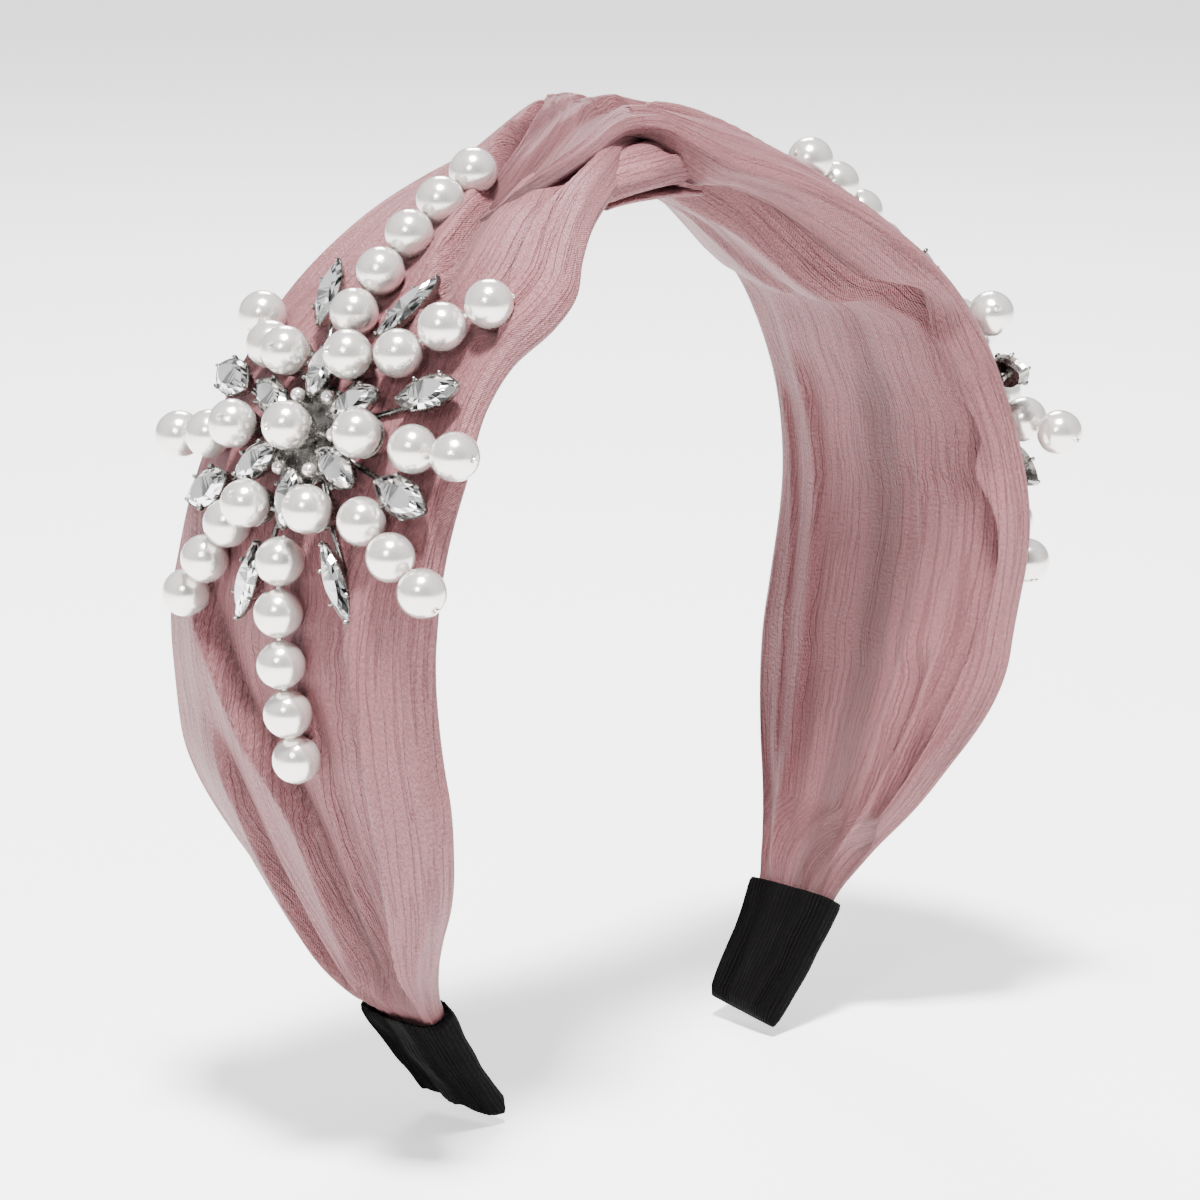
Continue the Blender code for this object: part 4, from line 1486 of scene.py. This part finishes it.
    def build_pearls(self, finishes: Finishes) -> None:
        """Make the middle pearl, the ring pearls and the strings.

        Args:
            finishes: The headband's finishes.
        """
        word = self.side.word
        pattern = self.pearl()
        lift = self.pearl_radius + self.gap
        tilt = Matrix.Rotation(math.radians(70.0), 4, "Y")
        spots = [("centre", self.place(0.0, 0.0, lift + self.centre_lift))]
        for number, angle in enumerate(self.ring_angles()):
            spots.append((f"ring_{number + 1}", self.place(angle, self.ring_radius, lift + self.ring_lift)))
        for name, spot in spots:
            pearl = Bench.copy(pattern, spot @ tilt)
            node = f"{word}_{name}_pearl"
            self.add(pearl, f"{word}_{name}_glossy_pearl", finishes.pearl, "pearl", node)
        for hour, angle, first, count in self.strings:
            spots = [self.place(angle, first + self.pitch * number, lift) for number in range(count)]
            parts = [Bench.copy(pattern, spot) for spot in spots]
            middles = [spot.translation for spot in spots]
            for one, two in zip(middles, middles[1:]):
                parts.append(self.rod(one, two, self.thread))
            for spot, sign in ((spots[0], -1.0), (spots[-1], 1.0)):
                end = spot @ Vector((sign * (self.pearl_radius + 0.0001), 0.0, -0.0006))
                parts.append(self.rod(spot.translation, end, self.thread))
            string = Bench.join("string", parts)
            node = f"{word}_pearl_string_at_{hour}"
            self.add(string, f"{word}_threaded_pearls_at_{hour}", finishes.pearl, "pearl", node)
        Bench.discard(pattern)

    def build_stones(self, finishes: Finishes) -> list[bpy.types.Object]:
        """Make the stones.

        Args:
            finishes: The headband's finishes.

        Returns:
            The metal cups that hold them, not joined yet.
        """
        word = self.side.word
        cups = []
        patterns = {cut: Stone(cut).cup() for cut in Cut}
        for hour, angle, cut in self.stones:
            _, _, radius, lift = cut.value
            spot = self.place(angle, radius, lift)
            stone = Stone(cut).model(seed=hour + 20 * (self.side is Side.RIGHT))
            stone.data.transform(spot)
            cups.append(Bench.copy(patterns[cut], spot))
            node = f"{word}_navette_at_{hour}"
            self.add(stone, f"{word}_cut_stone_at_{hour}", finishes.crystal, "crystal", node)
        petals = []
        for number, angle in enumerate(self.petal_angles()):
            _, _, radius, lift = Cut.PETAL.value
            spot = self.place(angle, radius, lift)
            petal = Stone(Cut.PETAL).model(seed=60 + number)
            petal.data.transform(spot)
            petals.append(petal)
            cups.append(Bench.copy(patterns[Cut.PETAL], spot))
        flower = Bench.join("flower", petals)
        self.add(flower, f"{word}_cut_stone_flower", finishes.crystal, "crystal", f"{word}_stone_flower")
        for pattern in patterns.values():
            Bench.discard(pattern)
        return cups

    def build_setting(self, finishes: Finishes, cups: list[bpy.types.Object]) -> None:
        """Make the silver setting and the seed pearls on it.

        Args:
            finishes: The headband's finishes.
            cups: Stone cups, which are joined into the setting.
        """
        word = self.side.word
        hub = self.dish(self.hub_radius, self.hub_thickness)
        hub.data.transform(self.place(0.0, 0.0, self.wire_lift + self.hub_thickness / 2))
        parts = [hub, *cups]
        bowl = self.dish(self.pearl_radius * self.bowl_share, self.bowl_height)
        parts.append(Bench.copy(bowl, self.place(0.0, 0.0, self.gap + self.centre_lift + self.bowl_lift)))
        face = self.wire_lift + self.hub_thickness
        centre = self.place(0.0, 0.0, self.wire_lift).translation
        top = self.place(0.0, 0.0, self.centre_lift + self.gap).translation
        parts.append(self.rod(centre, top, self.centre_post))
        for angle in self.ring_angles():
            spot = self.place(angle, self.ring_radius, self.gap + self.ring_lift + self.bowl_lift)
            parts.append(Bench.copy(bowl, spot))
            foot = self.place(angle, self.ring_radius, self.wire_lift).translation
            parts.append(self.rod(foot, spot.translation, self.ring_post))
            parts.append(self.rod(centre, foot, self.wire_radius))
            stem = self.place(angle, self.seed_radius, self.wire_lift).translation
            top = self.place(angle, self.seed_radius, face + self.seed_stem).translation
            parts.append(self.rod(stem, top, self.seed_post))
        for _, angle, cut in self.stones:
            _, _, radius, lift = cut.value
            foot = self.place(angle, radius, self.wire_lift).translation
            halfway = self.place(angle, radius / 2, self.wire_lift).translation
            top = self.place(angle, radius, lift - self.post_gap).translation
            parts.append(self.rod(halfway, centre, self.wire_radius))
            parts.append(self.rod(halfway, foot, self.wire_radius))
            parts.append(self.rod(foot, top, self.stone_post))
        for angle in self.petal_angles():
            _, _, radius, lift = Cut.PETAL.value
            foot = self.place(angle, radius * 0.7, self.wire_lift).translation
            top = self.place(angle, radius * 0.8, lift - self.post_gap).translation
            parts.append(self.rod(foot, top, self.petal_post))
        Bench.discard(bowl)
        setting = Bench.join("setting", parts)
        node = f"{word}_brooch_setting"
        self.add(setting, f"{word}_silver_setting", finishes.silver, "setting_metal", node)
        pattern = self.pearl()
        small = Matrix.Scale(self.seed_size / self.pearl_radius, 4)
        seeds = []
        for angle in self.ring_angles():
            spot = self.place(angle, self.seed_radius, face + self.seed_lift)
            seeds.append(Bench.copy(pattern, spot @ small))
        Bench.discard(pattern)
        self.add(Bench.join("seeds", seeds), f"{word}_seed_pearls", finishes.pearl, "pearl")

    def build(self, finishes: Finishes) -> None:
        """Make the whole brooch.

        Args:
            finishes: The headband's finishes.
        """
        self.build_pearls(finishes)
        cups = self.build_stones(finishes)
        self.build_setting(finishes, cups)


@dataclass(frozen=True)
class Studio:
    """Pale floor, soft light and the camera."""

    floor_size: float = 6.0
    floor_height: float = -0.1536
    floor_glow: float = 0.85
    dark_heading: tuple[float, float, float] = (-0.66, -0.70, 0.10)
    world_bright: float = 0.62
    world_dark: float = 0.06
    light_aim: tuple[float, float, float] = (0.0, 0.0, -0.07)
    lamps: tuple[tuple[str, tuple[float, float, float], float, float], ...] = (
        ("key", (-0.30, -0.24, 1.15), 0.20, 78.0),
        ("fill", (-0.80, -0.35, 0.45), 0.16, 4.0),
        ("rim", (0.55, 0.6, 0.6), 0.35, 9.0),
    )
    azimuth: float = math.radians(-44.8)
    elevation: float = math.radians(13.4)
    distance: float = 0.893
    aim: tuple[float, float, float] = (0.0, 0.0, -0.0720)
    aim_right: float = -0.0015
    aim_up: float = 0.0024
    sensor: float = 36.0
    focal_length: float = 156.96

    def build_floor(self) -> None:
        """Lay a pale floor that glows a little, so that it stays pale."""
        Bench.clear_selection()
        bpy.ops.mesh.primitive_plane_add(size=self.floor_size, location=(0.0, 0.0, self.floor_height))
        floor = Bench.named("floor")
        paint = Graph("pale_floor")
        stops = [(0.0, (0.90, 0.90, 0.90)), (1.0, (0.94, 0.94, 0.94))]
        paint.to("Base Color", paint.ramp(paint.noise(paint.place(), 3.0), stops))
        paint.set(Roughness=0.9, Emission_Color=(1.0, 1.0, 1.0, 1.0), Emission_Strength=self.floor_glow)
        floor.data.materials.append(paint.material)

    def build_world(self) -> None:
        """Surround the headband with white, with one darker patch for the pearls to reflect."""
        world = bpy.data.worlds.new("studio")
        world.use_nodes = True
        tree = world.node_tree
        background = tree.nodes["Background"]
        background.inputs["Color"].default_value = (1.0, 1.0, 1.0, 1.0)
        heading = tree.nodes.new("ShaderNodeTexCoord").outputs["Generated"]
        toward = tree.nodes.new("ShaderNodeVectorMath")
        toward.operation = "DOT_PRODUCT"
        toward.inputs[1].default_value = self.dark_heading
        tree.links.new(heading, toward.inputs[0])
        fall = tree.nodes.new("ShaderNodeMapRange")
        fall.interpolation_type = "SMOOTHSTEP"
        limits = {"From Min": 0.35, "From Max": 0.95}
        limits.update({"To Min": self.world_bright, "To Max": self.world_dark})
        for word, value in limits.items():
            fall.inputs[word].default_value = value
        tree.links.new(toward.outputs["Value"], fall.inputs["Value"])
        tree.links.new(fall.outputs[0], background.inputs["Strength"])
        bpy.context.scene.world = world

    def build_lamps(self) -> None:
        """Hang the lamps, turned to the headband."""
        aim = Vector(self.light_aim)
        for name, place, size, power in self.lamps:
            lamp = bpy.data.lights.new(name, "AREA")
            lamp.size = size
            lamp.energy = power
            light = bpy.data.objects.new(name, lamp)
            light.location = place
            light.rotation_euler = (Vector(place) - aim).to_track_quat("Z", "Y").to_euler()
            bpy.context.scene.collection.objects.link(light)

    def build_camera(self) -> None:
        """Stand the camera in front of the headband, to its right."""
        level = math.cos(self.elevation)
        back = Vector(
            (math.sin(self.azimuth) * level, -math.cos(self.azimuth) * level, math.sin(self.elevation))
        )
        right = Vector((math.cos(self.azimuth), math.sin(self.azimuth), 0.0))
        up = back.cross(right)
        lens = bpy.data.cameras.new("camera")
        lens.sensor_width = self.sensor
        lens.lens = self.focal_length
        camera = bpy.data.objects.new("camera", lens)
        aim = Vector(self.aim) + right * self.aim_right + up * self.aim_up
        camera.location = aim + back * self.distance
        camera.rotation_euler = back.to_track_quat("Z", "Y").to_euler()
        bpy.context.scene.collection.objects.link(camera)
        bpy.context.scene.camera = camera

    def build(self) -> None:
        """Set up the whole studio."""
        self.build_floor()
        self.build_world()
        self.build_lamps()
        self.build_camera()


@dataclass(frozen=True)
class Headband:
    """The whole headband."""

    knot: KnotFabric
    finishes: Finishes
    brooches: tuple[Brooch, ...] = (
        Brooch(Side.LEFT, along=0.078, across=-0.0015, hand=1),
        Brooch(Side.RIGHT, along=0.088, across=-0.0065, hand=-1),
    )

    def crossing(self, obj: bpy.types.Object, side: Side) -> None:
        """Bake a piece of fabric's placement into its mesh; the span where the arm flexes is worked out but
        not used.

        Args:
            obj: The piece.
            side: The arm that it lies on.
        """
        start = HOOP.place(side.value * (self.knot.hinge - self.knot.give), 0.0, 0.0)
        end = HOOP.place(side.value * (self.knot.hinge + self.knot.give), 0.0, 0.0)
        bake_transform(obj)

    def build_fabric(self) -> None:
        """Make the panels, the knot and the lining."""
        rows = (
            ("left_panel", self.knot.left(), Side.LEFT, "left_fabric_leg", (0.059, 0.190)),
            ("right_panel", self.knot.right(), Side.RIGHT, "right_fabric_leg", (0.059, 0.190)),
            ("knot_wedge", self.knot.wedge(), Side.LEFT, "knot_over_band", (0.026, 0.036)),
            ("knot_wrap", self.knot.under_fold(), None, "knot_under_fold", (0.035, 0.0345)),
            ("head_lining", self.knot.lining(), None, "crown_lining", (0.023, 0.024)),
        )
        for name, panel, side, node, flat in rows:
            piece = panel.build(name, self.finishes)
            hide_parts(node)
            if side is None:
                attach(piece, "crown")
            else:
                self.crossing(piece, side)
            LOG.info("%s: %d faces", name, len(piece.data.polygons))

    def build_sleeves(self) -> None:
        """Make the end sleeves."""
        for side in Side:
            sleeve = EndSleeve(side).build(self.finishes)
            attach(sleeve, side.arm)
            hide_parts(f"{side.word}_end_sleeve")
            LOG.info("%s: %d faces", sleeve.name, len(sleeve.data.polygons))

    def build(self) -> None:
        """Make every piece."""
        self.build_fabric()
        self.build_sleeves()
        for brooch in self.brooches:
            brooch.build(self.finishes)
        for node in ("crown_core", "left_core", "right_core"):
            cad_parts[node].data.materials.clear()
            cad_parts[node].data.materials.append(self.finishes.webbing)


def main() -> None:
    """Build the headband and its studio."""
    logging.basicConfig(level=logging.INFO, format="%(message)s")
    Studio().build()
    Headband(KnotFabric(), Finishes()).build()


if __name__ == "__main__":
    main()
